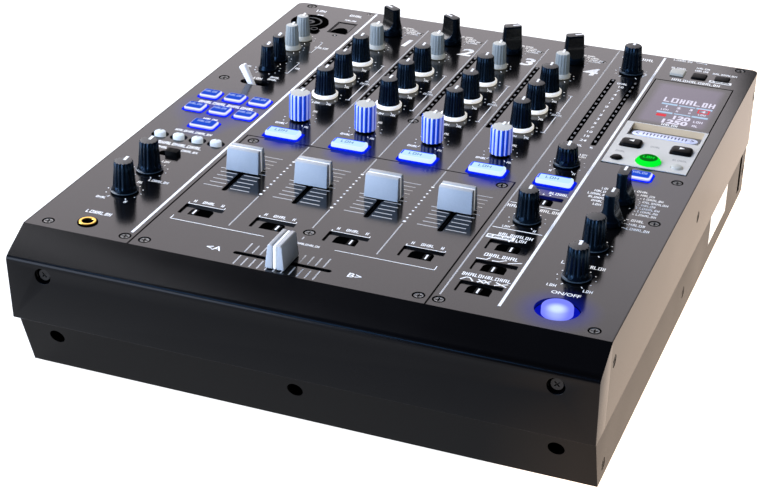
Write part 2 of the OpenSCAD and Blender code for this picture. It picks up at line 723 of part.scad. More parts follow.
module circuit_boards() color("#2f5d3a") {
    difference() {
        union() {
            at(0, 0, control_board_z - board_t) translate([-panel_w / 2 + board_gap, board_gap, 0])
                cube([panel_w - 2 * board_gap, panel_d - rear_inset - 10, board_t + 0.01]);
            for (k = knobs) pot(k[1], k[2]);
            for (f = faders) track(f);
            for (k = concat(panel_key_list, plate_keys)) key_switch(k);
            key_switch([button_x, button_y]);
            lever_cradle();
        }
        at(mic_x, mic_y, -30) cylinder(r = mic_r + 1, h = 20);
        at(phones_x, phones_y, -30) cylinder(r = phones_r + 1, h = 20);
        panel_box(usb_box, -30, -11, 0.8);
        rear_each(rear_jacks) translate([0, 0, -jack_depth - 4]) cylinder(r = phones_r + 1, h = jack_depth + 6);
        rear_each([lan_place]) socket_block(lan_size, socket_wall + 1, -socket_depth - 4, 30);
        rear_each(rca_holes) translate([0, 0, -10]) cylinder(r = rca_r + 1, h = 20);
    }
    // Main board and power supply board on posts from the floor
    at(0, 0, main_board_z) translate([-panel_w / 2 + 8, 20, 0])
        cube([panel_w * 0.6, panel_d - rear_inset - 60, board_t]);
    for (x = [0.05, 0.5]) for (y = [0.1, 0.75])
        at(0, 0, chassis_floor + fold_t) translate([-panel_w / 2 + panel_w * x, panel_d * y, 0])
            cylinder(r = 3, h = main_board_z - chassis_floor - fold_t);
    at(0, 0, main_board_z) translate([panel_w * 0.14, 20, 0])
        cube([panel_w * 0.3, panel_d - rear_inset - 60, board_t]);
    for (y = [0.1, 0.75])
        at(0, 0, chassis_floor + fold_t) translate([panel_w * 0.36, panel_d * y, 0])
            cylinder(r = 3, h = main_board_z - chassis_floor - fold_t);
    at(0, 0, main_board_z + board_t - 0.01) translate([panel_w * 0.2, panel_d * 0.5, 0]) cube([52, 44, 32]);
    for (i = [0:2]) at(0, 0, main_board_z + board_t - 0.01)
        translate([panel_w * 0.22 + i * 24, panel_d * 0.25, 0]) cylinder(r = 9, h = 26);
    for (x = [0.2, 0.35]) for (y = [0.2, 0.45])
        at(0, 0, main_board_z + board_t - 0.01) translate([-panel_w / 2 + panel_w * x, panel_d * y, 0]) cube([24, 24, 2.4]);
}

// One knob with its shaft: a turned body with a groove for the pointer, or a fin on a skirt
module knob(k) {
    s = knob_size(k[3]);
    at(k[1], k[2]) rotate(k[4]) {
        if (k[3] == "selector") {
            translate([0, 0, hover]) cylinder(r = s[0], h = s[1] - hover);
            difference() {
                intersection() {
                    cylinder(r = s[2], h = s[4]);
                    translate([-grip_w / 2, -20, 1]) cube([grip_w, 40, s[4]]);
                }
                pointer_groove(1, s[4]);
            }
        }
        else difference() {
            rotate_extrude() polygon([[0, hover], [s[0], hover], [s[0], s[1]], [s[2], s[1]], [s[3], s[4]], [0, s[4]]]);
            pointer_groove(0, s[4]);
        }
        translate([0, 0, shaft_bottom]) cylinder(r = shaft_r, h = hover + 1 - shaft_bottom);
    }
}
module pointer_groove(y, top) translate([-pointer_w / 2, y, top - pointer_depth]) cube([pointer_w, 20, 1]);
function knob_colour(kind) = kind == "trim" ? "#8c98a0" : kind == "colour" ? "#2a5ae6" : "#1c1d22";

// Fader cap on its blade: a wedge whose top is narrower than its foot
module fader_lever(f) color("#b4bcc6") at(f[1], f[2]) rotate(f[3]) translate([0, f[4], 0]) {
    translate([-cap_w / 2, 0, 0]) rotate([90, 0, 90]) linear_extrude(cap_w)
        polygon([[-cap_d / 2, cap_bottom], [-cap_top_d / 2, cap_h], [-cap_dip_d / 2, cap_h - cap_dip],
            [cap_dip_d / 2, cap_h - cap_dip], [cap_top_d / 2, cap_h], [cap_d / 2, cap_bottom]]);
    translate([-blade_t / 2, -blade_w / 2, blade_bottom]) cube([blade_t, blade_w, cap_bottom + 1 - blade_bottom]);
}

module key_cap(k, top) at(k[0], k[1], key_bottom) block(k[2], k[3], k[4], top + k[5] - key_bottom);

module panel_keys() color("#aeb8f0") {
    for (k = panel_key_list) key_cap(k, 0);
    for (k = plate_keys) key_cap(k, plate_proud);
}

module on_off_button() color("#9696ff") at(button_x, button_y, key_bottom) {
    cylinder(r = button_r, h = button_h - button_edge - key_bottom);
    translate([0, 0, button_h - button_edge - 0.01 - key_bottom])
        cylinder(r1 = button_r, r2 = button_r - button_crown, h = button_edge);
    cylinder(r = button_well_r - gap, h = button_rim_h);
}

// Knob of a slide switch in its slot
module slide_knob(s) at(s[0], s[1], slide_bottom) translate([s[2], 0, 0])
    block(slide_w, slot_d - 2 * gap, slide_r, slide_h);

module crossfader_assign_1() color("#202022") for (s = assign_first) slide_knob(s);
module crossfader_assign_2_to_4() color("#202022") for (s = assign_rest) slide_knob(s);
module curve_switches() color("#202022") for (s = curve_list) slide_knob(s);
module stereo_switches() color("#202022") {
    for (s = stereo_list) slide_knob(s);
    at(split_x, split_y, slide_bottom) translate([two_way - split_knob_w / 2, -split_knob_d / 2, 0])
        cube([split_knob_w, split_knob_d, split_knob_h]);
}

module mic_switch() color("#f2f2f4") at(lever_x, lever_y, lever_pivot) rotate([0, -lever_lean, 0]) {
    rotate([90, 0, 0]) cylinder(r = lever_barrel_r, h = lever_w, center = true);
    translate([-lever_t / 2, -lever_w / 2, 0]) cube([lever_t, lever_w, lever_len]);
}

control_panel();
fader_panel();
front_cover();
bottom_tray();
rear_panel();
effects_plate();
display_windows();
sockets();
screws();
feet();
circuit_boards();
for (k = knobs) color(knob_colour(k[3])) knob(k);
for (f = faders) fader_lever(f);
mic_switch();
crossfader_assign_1();
crossfader_assign_2_to_4();
curve_switches();
stereo_switches();
on_off_button();
panel_keys();
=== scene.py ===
import json
import math

import bmesh
import bpy
from mathutils import Matrix, Vector


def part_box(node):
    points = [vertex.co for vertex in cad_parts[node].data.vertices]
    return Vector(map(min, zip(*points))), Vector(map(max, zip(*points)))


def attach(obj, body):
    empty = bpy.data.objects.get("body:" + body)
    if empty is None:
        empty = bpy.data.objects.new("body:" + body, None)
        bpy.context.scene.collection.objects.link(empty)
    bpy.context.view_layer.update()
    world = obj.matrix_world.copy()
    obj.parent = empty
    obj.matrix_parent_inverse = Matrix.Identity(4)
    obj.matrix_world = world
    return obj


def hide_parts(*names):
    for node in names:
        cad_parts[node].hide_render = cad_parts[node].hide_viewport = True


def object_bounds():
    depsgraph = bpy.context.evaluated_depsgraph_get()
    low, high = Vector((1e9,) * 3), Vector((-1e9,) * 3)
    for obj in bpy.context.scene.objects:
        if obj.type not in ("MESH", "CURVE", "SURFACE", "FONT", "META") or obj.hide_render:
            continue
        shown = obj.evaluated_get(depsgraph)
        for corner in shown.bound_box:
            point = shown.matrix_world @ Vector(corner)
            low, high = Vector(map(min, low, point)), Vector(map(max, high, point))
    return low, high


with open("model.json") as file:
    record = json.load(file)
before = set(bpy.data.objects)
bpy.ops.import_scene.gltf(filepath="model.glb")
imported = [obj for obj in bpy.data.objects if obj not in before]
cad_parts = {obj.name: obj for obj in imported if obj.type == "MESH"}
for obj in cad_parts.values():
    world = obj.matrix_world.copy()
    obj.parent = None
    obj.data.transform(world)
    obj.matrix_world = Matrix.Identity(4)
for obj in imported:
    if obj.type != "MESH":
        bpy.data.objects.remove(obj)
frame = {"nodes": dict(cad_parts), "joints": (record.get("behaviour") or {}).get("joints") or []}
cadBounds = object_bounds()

# Drawing units are millimetres on the top panel: x from its middle, y from its front edge, z from its face
panelLo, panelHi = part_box("control_panel")
toFrame = Matrix.Translation((0, panelLo.y, panelHi.z)) @ Matrix.Scale(0.001, 4)
toPanel = toFrame.inverted()
jointOf = {joint["child"]: joint for joint in frame["joints"]}
channelX = [-82.4, -39.07, 4.26, 47.59]


def axisOf(node):
    spot = toPanel @ Vector(jointOf[node]["pos_m"])
    return spot.x, spot.y


def hexColor(code):
    parts = [int(code[i : i + 2], 16) / 255 for i in (1, 3, 5)]
    return [c / 12.92 if c <= 0.04045 else ((c + 0.055) / 1.055) ** 2.4 for c in parts] + [1]


def addNode(tree, kind, inputs=(), **settings):
    node = tree.nodes.new("ShaderNode" + kind)
    for name, value in settings.items():
        setattr(node, name, value)
    for name, value in dict(inputs).items():
        if isinstance(value, bpy.types.NodeSocket):
            tree.links.new(value, node.inputs[name])
        else:
            node.inputs[name].default_value = value
    return node


# Two tones mixed by a fine grain (its size in mm) and a broad cloud; the roughness drifts with the cloud
def makeFinish(
    name, light, dark, grain, rough, bump=0.0, cloud=60,
    level=0.5, glow="#ffffff", shine=0.0, metal=0.0, tint="#ffffff",
):
    mat = bpy.data.materials.new(name)
    mat.use_nodes = True
    tree = mat.node_tree
    base = tree.nodes["Principled BSDF"]
    place = addNode(tree, "TexCoord").outputs["Object"]
    fine = addNode(tree, "TexNoise", {"Vector": place, "Scale": 1000 / grain, "Detail": 3, "Roughness": 0.6})
    broad = addNode(tree, "TexNoise", {"Vector": place, "Scale": 1000 / cloud, "Detail": 2})
    both = addNode(tree, "Math", {0: fine.outputs[0], 1: broad.outputs[0]}, operation="ADD")
    spread = addNode(tree, "MapRange", {"Value": both.outputs[0], "From Min": 0.7, "From Max": 1.3})
    tones = {6: hexColor(dark), 7: hexColor(light)}
    tone = addNode(tree, "Mix", {0: spread.outputs[0], **tones}, data_type="RGBA")
    tree.links.new(tone.outputs[2], base.inputs["Base Color"])
    sheen = addNode(
        tree, "MapRange",
        {"Value": broad.outputs[0], "From Min": 0.3, "From Max": 0.7, "To Min": rough[0], "To Max": rough[1]},
    )
    tree.links.new(sheen.outputs[0], base.inputs["Roughness"])
    if bump:
        depth = grain * 0.0004
        relief = addNode(tree, "Bump", {"Height": fine.outputs[0], "Strength": bump, "Distance": depth})
        tree.links.new(relief.outputs[0], base.inputs["Normal"])
    for socket, value in (
        ("Specular IOR Level", level), ("Specular Tint", hexColor(tint)), ("Metallic", metal),
        ("Emission Color", hexColor(glow)), ("Emission Strength", shine),
    ):
        base.inputs[socket].default_value = value
    return mat


# Blue light that the lit keys throw on the paint, painted into the enamel as a glow: x, y, reach in metres
# and strength
blueSpill = {
    "colour": "#2038ff",
    "full": 0.38,
    "spots": [
        (-132, 186, 0.036, 0.36), (-132, 156, 0.018, 0.24), (91, 157.5, 0.017, 0.36),
        (131.4, 20, 0.026, 0.26), (133, 188, 0.014, 0.24),
    ] + [(x + 3, 156.5, 0.019, 0.4) for x in channelX],
}
# The paint mirrors less on the folded sides than on the face, and a cool tint is painted on its reflection in
# a band across the panel
paintSheen = {"face": 0.34, "side": 0.02, "y": 188, "reach": 0.085, "tint": "#ecf0ff"}


# Satin baked enamel on folded steel: a faint orange peel and a soft wide sheen; the keys' blue light is
# painted in as a glow, and the sheen is painted weaker where it falls
def makeEnamel(name, rough):
    spill = blueSpill["colour"]
    mat = makeFinish(name, "#0b0b0c", "#070708", 0.5, rough, 0.04, 90, paintSheen["face"], spill)
    tree = mat.node_tree
    base = tree.nodes["Principled BSDF"]
    place = addNode(tree, "TexCoord").outputs["Object"]
    total = 0.0
    # Painted light: a blue glow round each spot that a lit key shines on
    for x, y, reach, strength in blueSpill["spots"]:
        away = addNode(tree, "VectorMath", {0: place, 1: toFrame @ Vector((x, y, 0))}, operation="DISTANCE")
        near = addNode(
            tree, "MapRange",
            {"Value": away.outputs["Value"], "From Min": reach, "From Max": 0.0, "To Max": strength},
            interpolation_type="SMOOTHSTEP",
        )
        total = addNode(tree, "Math", {0: near.outputs[0], 1: total}, operation="ADD").outputs[0]
    tree.links.new(total, base.inputs["Emission Strength"])
    part = addNode(tree, "SeparateXYZ", {0: place})
    middle = toFrame @ Vector((0, paintSheen["y"], 0))
    along = addNode(tree, "Math", {0: part.outputs[1], 1: middle.y}, operation="SUBTRACT")
    apart = addNode(tree, "Math", {0: along.outputs[0]}, operation="ABSOLUTE")
    # Painted reflection: a cool tint on the sheen in a band across the panel
    band = addNode(
        tree, "MapRange", {"Value": apart.outputs[0], "From Min": paintSheen["reach"], "From Max": 0.0},
        interpolation_type="SMOOTHSTEP",
    )
    cool = hexColor(paintSheen["tint"])
    tint = addNode(tree, "Mix", {0: band.outputs[0], 6: (1, 1, 1, 1), 7: cool}, data_type="RGBA")
    tree.links.new(tint.outputs[2], base.inputs["Specular Tint"])
    across = addNode(tree, "Math", {0: part.outputs[0]}, operation="ABSOLUTE")
    fold = {"From Min": panelHi.x - 0.001, "From Max": panelHi.x - 0.0002}
    reach = {"To Min": paintSheen["face"], "To Max": paintSheen["side"]}
    sheen = addNode(tree, "MapRange", {"Value": across.outputs[0], **fold, **reach})
    # Painted shade: the sheen is weakened where the blue glow is painted
    fade = {"From Max": blueSpill["full"], "To Min": 1.0, "To Max": 0.0}
    kept = addNode(tree, "MapRange", {"Value": total, **fade})
    level = addNode(tree, "Math", {0: sheen.outputs[0], 1: kept.outputs[0]}, operation="MULTIPLY")
    tree.links.new(level.outputs[0], base.inputs["Specular IOR Level"])
    return mat


panelEnamel = makeEnamel("satin baked enamel", (0.12, 0.16))
faderEnamel = makeEnamel("satin baked enamel, fader panel", (0.11, 0.15))
# Moulded ABS with a fine spark texture: nearly black, a dull highlight on its bend
coverAbs = makeFinish("moulded ABS, spark texture", "#040406", "#030304", 0.4, (0.22, 0.28), 0.1, 80, 0.1)
# Powder-coated steel: coarser grain than the enamel, dull
trayPowder = makeFinish("powder-coated steel", "#060505", "#040303", 0.7, (0.34, 0.4), 0.15, 80, 0.055)
# Anodised aluminium: pale silver where it is bead-blasted, even and dull; in the recess a warm tan with a
# faint glow, painted as the warm light it catches
plateAluminium = makeFinish(
    "bead-blasted anodised aluminium", "#e2ddd2", "#d6d1c6", 0.35, (0.4, 0.48), 0.1, 50, 0.3
)
tanGlowAluminium = makeFinish(
    "anodised aluminium, tan, painted warm light", "#b9a88e", "#a8977c", 0.4, (0.4, 0.5), 0.05, 40, 0.2, "#c8b494", 0.3
)
# Smoked acrylic, nylon and rubber: black, with hardly any reflection
windowAcrylic = makeFinish("smoked acrylic", "#101012", "#0b0b0d", 2, (0.26, 0.32), 0, 60, 0.1)
blackNylon = makeFinish("moulded nylon, black", "#0f0f10", "#090909", 0.6, (0.35, 0.45), 0.1, 30, 0.06)
slideAbs = makeFinish("moulded ABS, slide knob", "#0a0a0a", "#060606", 0.6, (0.4, 0.5), 0.05, 30, 0.04)
# Flat black for black parts and gaps, and painted shade in recesses and round screw heads
blackAndShade = makeFinish("flat black, and painted shade in gaps and recesses", "#030303", "#020202", 0.5, (0.7, 0.8), 0, 10, 0.0)
footRubber = makeFinish("cast rubber", "#161616", "#0e0e0e", 1, (0.7, 0.85), 0.4, 30)
boardLaminate = makeFinish(
    "glass-epoxy laminate, black mask", "#0b0d0c", "#060807", 2, (0.5, 0.6), 0, 40, 0.1
)
# Screws: grey heads with a soft metal shine; black oxide on the side screws, and the same black painted as
# shade in recesses and countersinks
blackZinc = makeFinish(
    "black zinc plated steel", "#94908a", "#74716c", 0.5, (0.36, 0.46), 0.1, 10, metal=0.3
)
blackOxideAndShade = makeFinish("black oxide steel, and painted shade", "#080809", "#040404", 0.5, (0.3, 0.4), 0.05, 10, 0.03)
# Knobs: glossy black with a cool tint painted on their reflection, tops matt and greyer, rims painted lighter
# as a highlight
knobAbs = makeFinish(
    "glossy moulded ABS, black", "#050b12", "#03060a", 0.6, (0.2, 0.26), 0, 12, 0.3, tint="#78aee0"
)
knobCapAbs = makeFinish("matt moulded ABS, black", "#484440", "#383531", 0.3, (0.5, 0.6), 0.3, 12, 0.6)
rimHighlightAbs = makeFinish("moulded ABS, rim painted as a highlight", "#3c4850", "#303c44", 0.8, (0.2, 0.3), 0, 12, 0.3)
# The scoops of the turned selectors: the same black painted lighter, as lit
scoopLitAbs = makeFinish("moulded ABS, selector scoop painted lighter as lit", "#121210", "#0c0c0b", 0.6, (0.22, 0.28), 0, 12)
keyAbs = makeFinish("moulded ABS, satin black", "#0e0d0d", "#090909", 0.6, (0.3, 0.38), 0.03, 12, 0.05)
# Pale plastics glow faintly: painted light that lifts them where they are in shade
roundKeyAbs = makeFinish(
    "translucent ABS, pale", "#c4c9ca", "#b8bec0", 0.8, (0.5, 0.6), 0, 12, 0.2, "#dfe6ea", 0.42
)
greyKnobAbs = makeFinish(
    "translucent ABS, grey", "#949896", "#848988", 0.8, (0.3, 0.38), 0.03, 12, 0.15, "#a8b8bc", 0.1
)
paleKnobAbs = makeFinish(
    "moulded ABS, pale grey", "#b4b3ac", "#a6a59f", 0.8, (0.4, 0.5), 0.06, 12, 0.2, "#d8d8cc", 0.22
)
ringAbs = makeFinish(
    "moulded ABS, bright white", "#ffffff", "#f6f6f4", 0.8, (0.3, 0.38), 0, 12, glow="#fff8ea", shine=0.6
)
whiteNylon = makeFinish("moulded nylon, white", "#f4f4f6", "#e6e8f0", 0.8, (0.3, 0.38), 0.04, 12, shine=0.35)
# Screen-printed and pad-printed ink: flat and even, bright on the dark paint; the white and grey inks glow
# faintly, a painted light that keeps them even
whiteInk = makeFinish("white pad-printed ink", "#f2f1ee", "#e4e3e0", 1.2, (0.45, 0.55), 0, 30, shine=0.25)
greyInk = makeFinish("grey screen-printed ink", "#b4b2b0", "#a19f9d", 1.2, (0.45, 0.55), 0, 30, shine=0.1)
plateInk = makeFinish("pale ink on the plate", "#b4b0a8", "#aaa69e", 0.8, (0.4, 0.5), 0, 20, 0.1)
stripMark = makeFinish("blue-grey ink", "#3c4468", "#303860", 0.8, (0.4, 0.5), 0, 20)
# Tinted polycarbonate of the colour knobs: deep blue walls, and lilac ones that the lamp inside lights; both
# glow, and the lilac is partly a painted highlight
bluePolycarbonate = makeFinish(
    "tinted polycarbonate, blue", "#1c58cc", "#164cbc", 0.8, (0.2, 0.28), 0.03, 10, glow="#1040f0", shine=0.24
)
lilacPolycarbonate = makeFinish(
    "tinted polycarbonate, lit lilac", "#b8c4f0", "#a4b4ec", 0.8, (0.25, 0.35), 0.03, 10,
    glow="#a8b0ff", shine=0.4,
)
# Pad of the touch strip: its faint glow is painted light
stripPad = makeFinish(
    "frosted polycarbonate, pale", "#e8ebff", "#dde2fa", 0.8, (0.3, 0.4), 0.03, 20, glow="#d8dcff", shine=0.12
)
# Fader caps: silver lacquer with a cool cast, pale rib tops
capPaint = makeFinish(
    "silver lacquer on ABS", "#b0b6bb", "#a2a9af", 0.6, (0.5, 0.58), 0.04, 15, 0.3, metal=0.05
)
capTop = makeFinish("moulded ABS, cap top", "#c0bcb6", "#b2aea8", 0.6, (0.35, 0.42), 0.04, 15, 0.2)
# Meters and sockets: slots with no shine, grey segments, dark grey mouldings
segmentDark = makeFinish("meter slot, dull black", "#020202", "#010101", 1, (0.5, 0.6), 0, 20, 0.0)
segmentGrey = makeFinish("unlit meter segment", "#7a7876", "#6a6866", 1, (0.4, 0.5), 0, 20, 0.3)
flapAbs = makeFinish("moulded ABS, flap", "#1c1b1a", "#161515", 0.6, (0.2, 0.3), 0, 20, 0.18)
socketGrey = makeFinish("moulded nylon, dark grey", "#4a4846", "#3e3c3a", 0.6, (0.4, 0.5), 0.05, 20, 0.1)
slotGrey = makeFinish("moulded ABS, dark grey", "#6a6866", "#5c5a58", 0.6, (0.4, 0.5), 0.05, 20)
redNylon = makeFinish("moulded nylon, red", "#c02018", "#a81810", 0.6, (0.35, 0.45), 0, 10)
orangeNylon = makeFinish("moulded nylon, orange", "#e07818", "#cc6810", 0.6, (0.35, 0.45), 0, 10)
# The label's paper glows faintly: painted light
labelPaper = makeFinish("coated paper", "#f4f4f2", "#ebebe9", 0.6, (0.5, 0.6), 0, 30, shine=0.5)
# Plated brass: a clear mirror, cool on nickel and yellow on gilt
nickelSteel = makeFinish("nickel-plated brass", "#c9c6bf", "#b5b2ab", 0.4, (0.2, 0.3), 0, 10, metal=1.0)
giltBrass = makeFinish("gilt brass", "#ffcf68", "#f0bc50", 0.4, (0.18, 0.26), 0, 8, metal=1.0)
# The display's film glows violet under glass that mirrors like the panel
screenGlow = makeFinish(
    "display film under glass", "#0b0b0c", "#080809", 0.8, (0.12, 0.16), 0, 60, 0.34, "#8878a0"
)


# Lit polycarbonate over lamps shines by itself, so the colour under the light stays dark
def makeLit(name, under, glow, strength, rough=(0.35, 0.45)):
    return makeFinish(name, under, under, 0.8, rough, 0, 8, 0.0, glow, strength)


cueSide = makeLit("lit polycarbonate, key edge", "#505860", "#d8eeff", 1.0)
cueTop = makeLit("lit polycarbonate, cue key", "#3c4850", "#c4e8ff", 1.0)
cueInk = makeLit("ink on cue keys", "#304060", "#5888c8", 0.8)
cueRim = makeLit("light in the rim of a cue key, blue", "#000818", "#1850ff", 1.2)
fxSide = makeLit("lit polycarbonate, effect key side", "#303244", "#b2b4ff", 0.95)
fxEdgeHighlight = makeLit("lit polycarbonate, effect key edge, painted highlight", "#505058", "#f0f4ff", 1.0)
fxTop = makeLit("lit polycarbonate, effect key top", "#0c1428", "#2050d8", 0.95)
keyInk = makeLit("clear lettering in lit keys", "#202838", "#b4c8ff", 0.9)
tapSide = makeLit("lit polycarbonate, green", "#083010", "#00ff30", 0.95)
tapTop = makeLit("tinted polycarbonate, green", "#062008", "#0c8a20", 0.6)
# Painted light, glowing where there is no lamp: blue at key edges, on the panel round and before keys, and in
# the button's well
blueGlow = makeLit("light from the key's edge, blue", "#000410", "#0010ff", 4.5)
blueHalo = makeLit("light on the panel round a key, blue", "#04060c", "#0420e0", 0.9)
blueShade = makeLit("light on the panel before a key, dim blue", "#0a0c14", "#1c34b4", 0.75)
wellBlue = makeLit("light in the button's well, blue", "#00020c", "#0814b8", 0.9)
buttonTop = makeLit("lit polycarbonate, button top", "#202840", "#7c80ff", 1.0)
screenWhite = makeLit("display figures, white", "#484850", "#f0ecff", 0.95, (0.3, 0.4))
screenBlue = makeLit("display bars, pale blue", "#303840", "#c0dcf8", 0.9, (0.3, 0.4))
screenRed = makeLit("display figures, red", "#401014", "#ec4c58", 0.95, (0.3, 0.4))


def paint(faces, index):
    for face in faces:
        face.material_index = index


def turnPart(part, degrees, axis="Z"):
    turn = Matrix.Rotation(math.radians(degrees), 3, axis)
    bmesh.ops.rotate(part, cent=(0, 0, 0), matrix=turn, verts=part.verts)


def movePart(part, x=0, y=0, z=0, turn=0):
    turnPart(part, turn)
    bmesh.ops.translate(part, vec=(x, y, z), verts=part.verts)


def addTo(bm, part, x=0, y=0, z=0, turn=0):
    movePart(part, x, y, z, turn)
    mesh = bpy.data.meshes.new("part")
    part.to_mesh(mesh)
    part.free()
    bm.from_mesh(mesh)
    bpy.data.meshes.remove(mesh)


def finishPiece(name, bm, finishes, body, replaced=(), crease=35, turnOut=True):
    if turnOut:
        bmesh.ops.recalc_face_normals(bm, faces=bm.faces)
    bmesh.ops.transform(bm, matrix=toFrame, verts=bm.verts)
    mesh = bpy.data.meshes.new(name)
    bm.to_mesh(mesh)
    bm.free()
    for finish in finishes:
        mesh.materials.append(finish)
    mesh.shade_smooth()
    mesh.set_sharp_from_angle(angle=math.radians(crease))
    piece = bpy.data.objects.new(name, mesh)
    bpy.context.scene.collection.objects.link(piece)
    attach(piece, body)
    if replaced:
        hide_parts(*replaced)


# A copy of a CAD node's mesh in drawing units
def copyNode(node):
    bm = bmesh.new()
    bm.from_mesh(frame["nodes"][node].data)
    bmesh.ops.transform(bm, matrix=toPanel, verts=bm.verts)
    return bm


def turned(profile, steps=48, finish=0):
    part = bmesh.new()
    verts = [part.verts.new((r, 0, z)) for r, z in profile]
    geom = verts + [part.edges.new(pair) for pair in zip(verts, verts[1:])]
    full = {"axis": (0, 0, 1), "angle": 2 * math.pi, "steps": steps, "use_merge": True}
    bmesh.ops.spin(part, geom=geom, cent=(0, 0, 0), **full)
    bmesh.ops.remove_doubles(part, verts=part.verts, dist=1e-4)
    paint(part.faces, finish)
    return part


def addFace(part, points):
    return part.faces.new([part.verts.new(point) for point in points])


def thicken(part, faces, vec):
    grown = bmesh.ops.extrude_face_region(part, geom=faces)["geom"]
    bmesh.ops.translate(part, vec=vec, verts=[v for v in grown if isinstance(v, bmesh.types.BMVert)])


def raised(corners, z0, z1, finish=0):
    part = bmesh.new()
    thicken(part, [addFace(part, [(x, y, z0) for x, y in corners])], (0, 0, z1 - z0))
    paint(part.faces, finish)
    return part


# Ring-shaped plate: an outline with the same outline cut out of its middle
def ringPlate(corners, width, z0, z1, finish=0):
    part = bmesh.new()
    face = addFace(part, [(x, y, z0) for x, y in corners])
    part.normal_update()
    inset = {"thickness": width, "use_boundary": True, "use_even_offset": True}
    rim = bmesh.ops.inset_region(part, faces=[face], **inset)["faces"]
    bmesh.ops.delete(part, geom=[face], context="FACES_ONLY")
    thicken(part, rim, (0, 0, z1 - z0))
    paint(part.faces, finish)
    return part


def ease(part, edges, size, segments):
    how = {"offset_type": "OFFSET", "profile": 0.5, "affect": "EDGES", "material": -1, "clamp_overlap": True}
    bmesh.ops.bevel(part, geom=edges, offset=size, segments=segments, **how)


def beveledTop(part, size, segments=2, top=None):
    peak = max(v.co.z for v in part.verts)
    ease(part, [e for e in part.edges if all(v.co.z > peak - 1e-4 for v in e.verts)], size, segments)
    if top is not None:
        paint([f for f in part.faces if all(v.co.z > peak - 1e-4 for v in f.verts)], top)


def rect(x0, y0, x1, y1):
    return [(x0, y0), (x1, y0), (x1, y1), (x0, y1)]


# Points on an ellipse, 15 degrees apart
def oval(rx, ry, count=24):
    return [(rx * math.cos(a), ry * math.sin(a)) for a in (math.radians(15 * i) for i in range(count))]


def roundRect(w, d, r, steps=4):
    corners = []
    for sx, sy, start in ((1, 1, 0), (-1, 1, 90), (-1, -1, 180), (1, -1, 270)):
        for i in range(steps + 1):
            a = math.radians(start + 90 * i / steps)
            corners.append((sx * (w / 2 - r) + r * math.cos(a), sy * (d / 2 - r) + r * math.sin(a)))
    return corners


def addBlock(bm, matrix, finish=0):
    made = bmesh.ops.create_cube(bm, size=1, matrix=matrix)
    paint({f for v in made["verts"] for f in v.link_faces}, finish)


def addBar(bm, x0, y0, x1, y1, width, z=0.0, finish=0, thick=0.06):
    spin = Matrix.Rotation(math.atan2(y1 - y0, x1 - x0), 4, "Z")
    size = Matrix.Diagonal((math.hypot(x1 - x0, y1 - y0), width, thick, 1))
    addBlock(bm, Matrix.Translation(((x0 + x1) / 2, (y0 + y1) / 2, z)) @ spin @ size, finish)


def addDot(bm, x, y, r, z=0.0, finish=0, segments=10):
    shape = {"cap_ends": True, "segments": segments, "radius1": r, "radius2": r, "depth": 0.06}
    made = bmesh.ops.create_cone(bm, matrix=Matrix.Translation((x, y, z)), **shape)
    paint({f for v in made["verts"] for f in v.link_faces}, finish)


def addText(bm, words, size, x, y, z=0.0, finish=0, stretch=1.0, slant=0.0, bold=0.08):
    curve = bpy.data.curves.new("text", "FONT")
    curve.body, curve.size, curve.shear, curve.extrude, curve.offset = words, size, slant, 0.03, bold
    curve.align_x, curve.align_y, curve.resolution_u = "CENTER", "CENTER", 3
    holder = bpy.data.objects.new("text", curve)
    bpy.context.scene.collection.objects.link(holder)
    mesh = bpy.data.meshes.new_from_object(holder.evaluated_get(bpy.context.evaluated_depsgraph_get()))
    bpy.data.objects.remove(holder)
    part = bmesh.new()
    part.from_mesh(mesh)
    bpy.data.meshes.remove(mesh)
    bmesh.ops.remove_doubles(part, verts=part.verts, dist=1e-4)
    bmesh.ops.scale(part, vec=(stretch, 1, 1), verts=part.verts)
    paint(part.faces, finish)
    addTo(bm, part, x, y, z)


# A caption too small to read: a row of short blocks, one for each letter
def addCaption(bm, x, y, letters, height=1.4, finish=0, z=0.0, wide=1.0):
    widths = [(0.42 + 0.08 * ((7 * i + letters) % 3)) * height * wide for i in range(letters)]
    pitch, bold = 0.15 * height * wide, 0.15 * height
    left = x - (sum(widths) + pitch * (letters - 1)) / 2
    low, high = y - height / 2, y + height / 2
    for i, w in enumerate(widths):
        style = (i * 5 + letters) % 4
        for lift in ((-0.42, 0.42), (0.0,), (0.42, 0.0), (-0.42,))[style]:
            addBar(bm, left, y + height * lift, left + w, y + height * lift, bold, z, finish)
        for stem in (left + bold / 2, left + w - bold / 2)[: 1 if style == 3 else 2]:
            addBar(bm, stem, low, stem, high, bold, z + 0.004, finish)
        left += w + pitch


# Dots round a knob from one end of its turn to the other, with a longer mark at each end
def addScale(bm, x, y, radius, ends=150, step=30, dot=0.42, marks=True):
    for i in range(-ends, ends + 1, step):
        across, along = math.sin(math.radians(i)), math.cos(math.radians(i))
        if abs(i) == ends and marks:
            r0, r1 = radius - 0.6, radius + 1.2
            addBar(bm, x + r0 * across, y + r0 * along, x + r1 * across, y + r1 * along, 0.5)
        else:
            addDot(bm, x + radius * across, y + radius * along, dot)


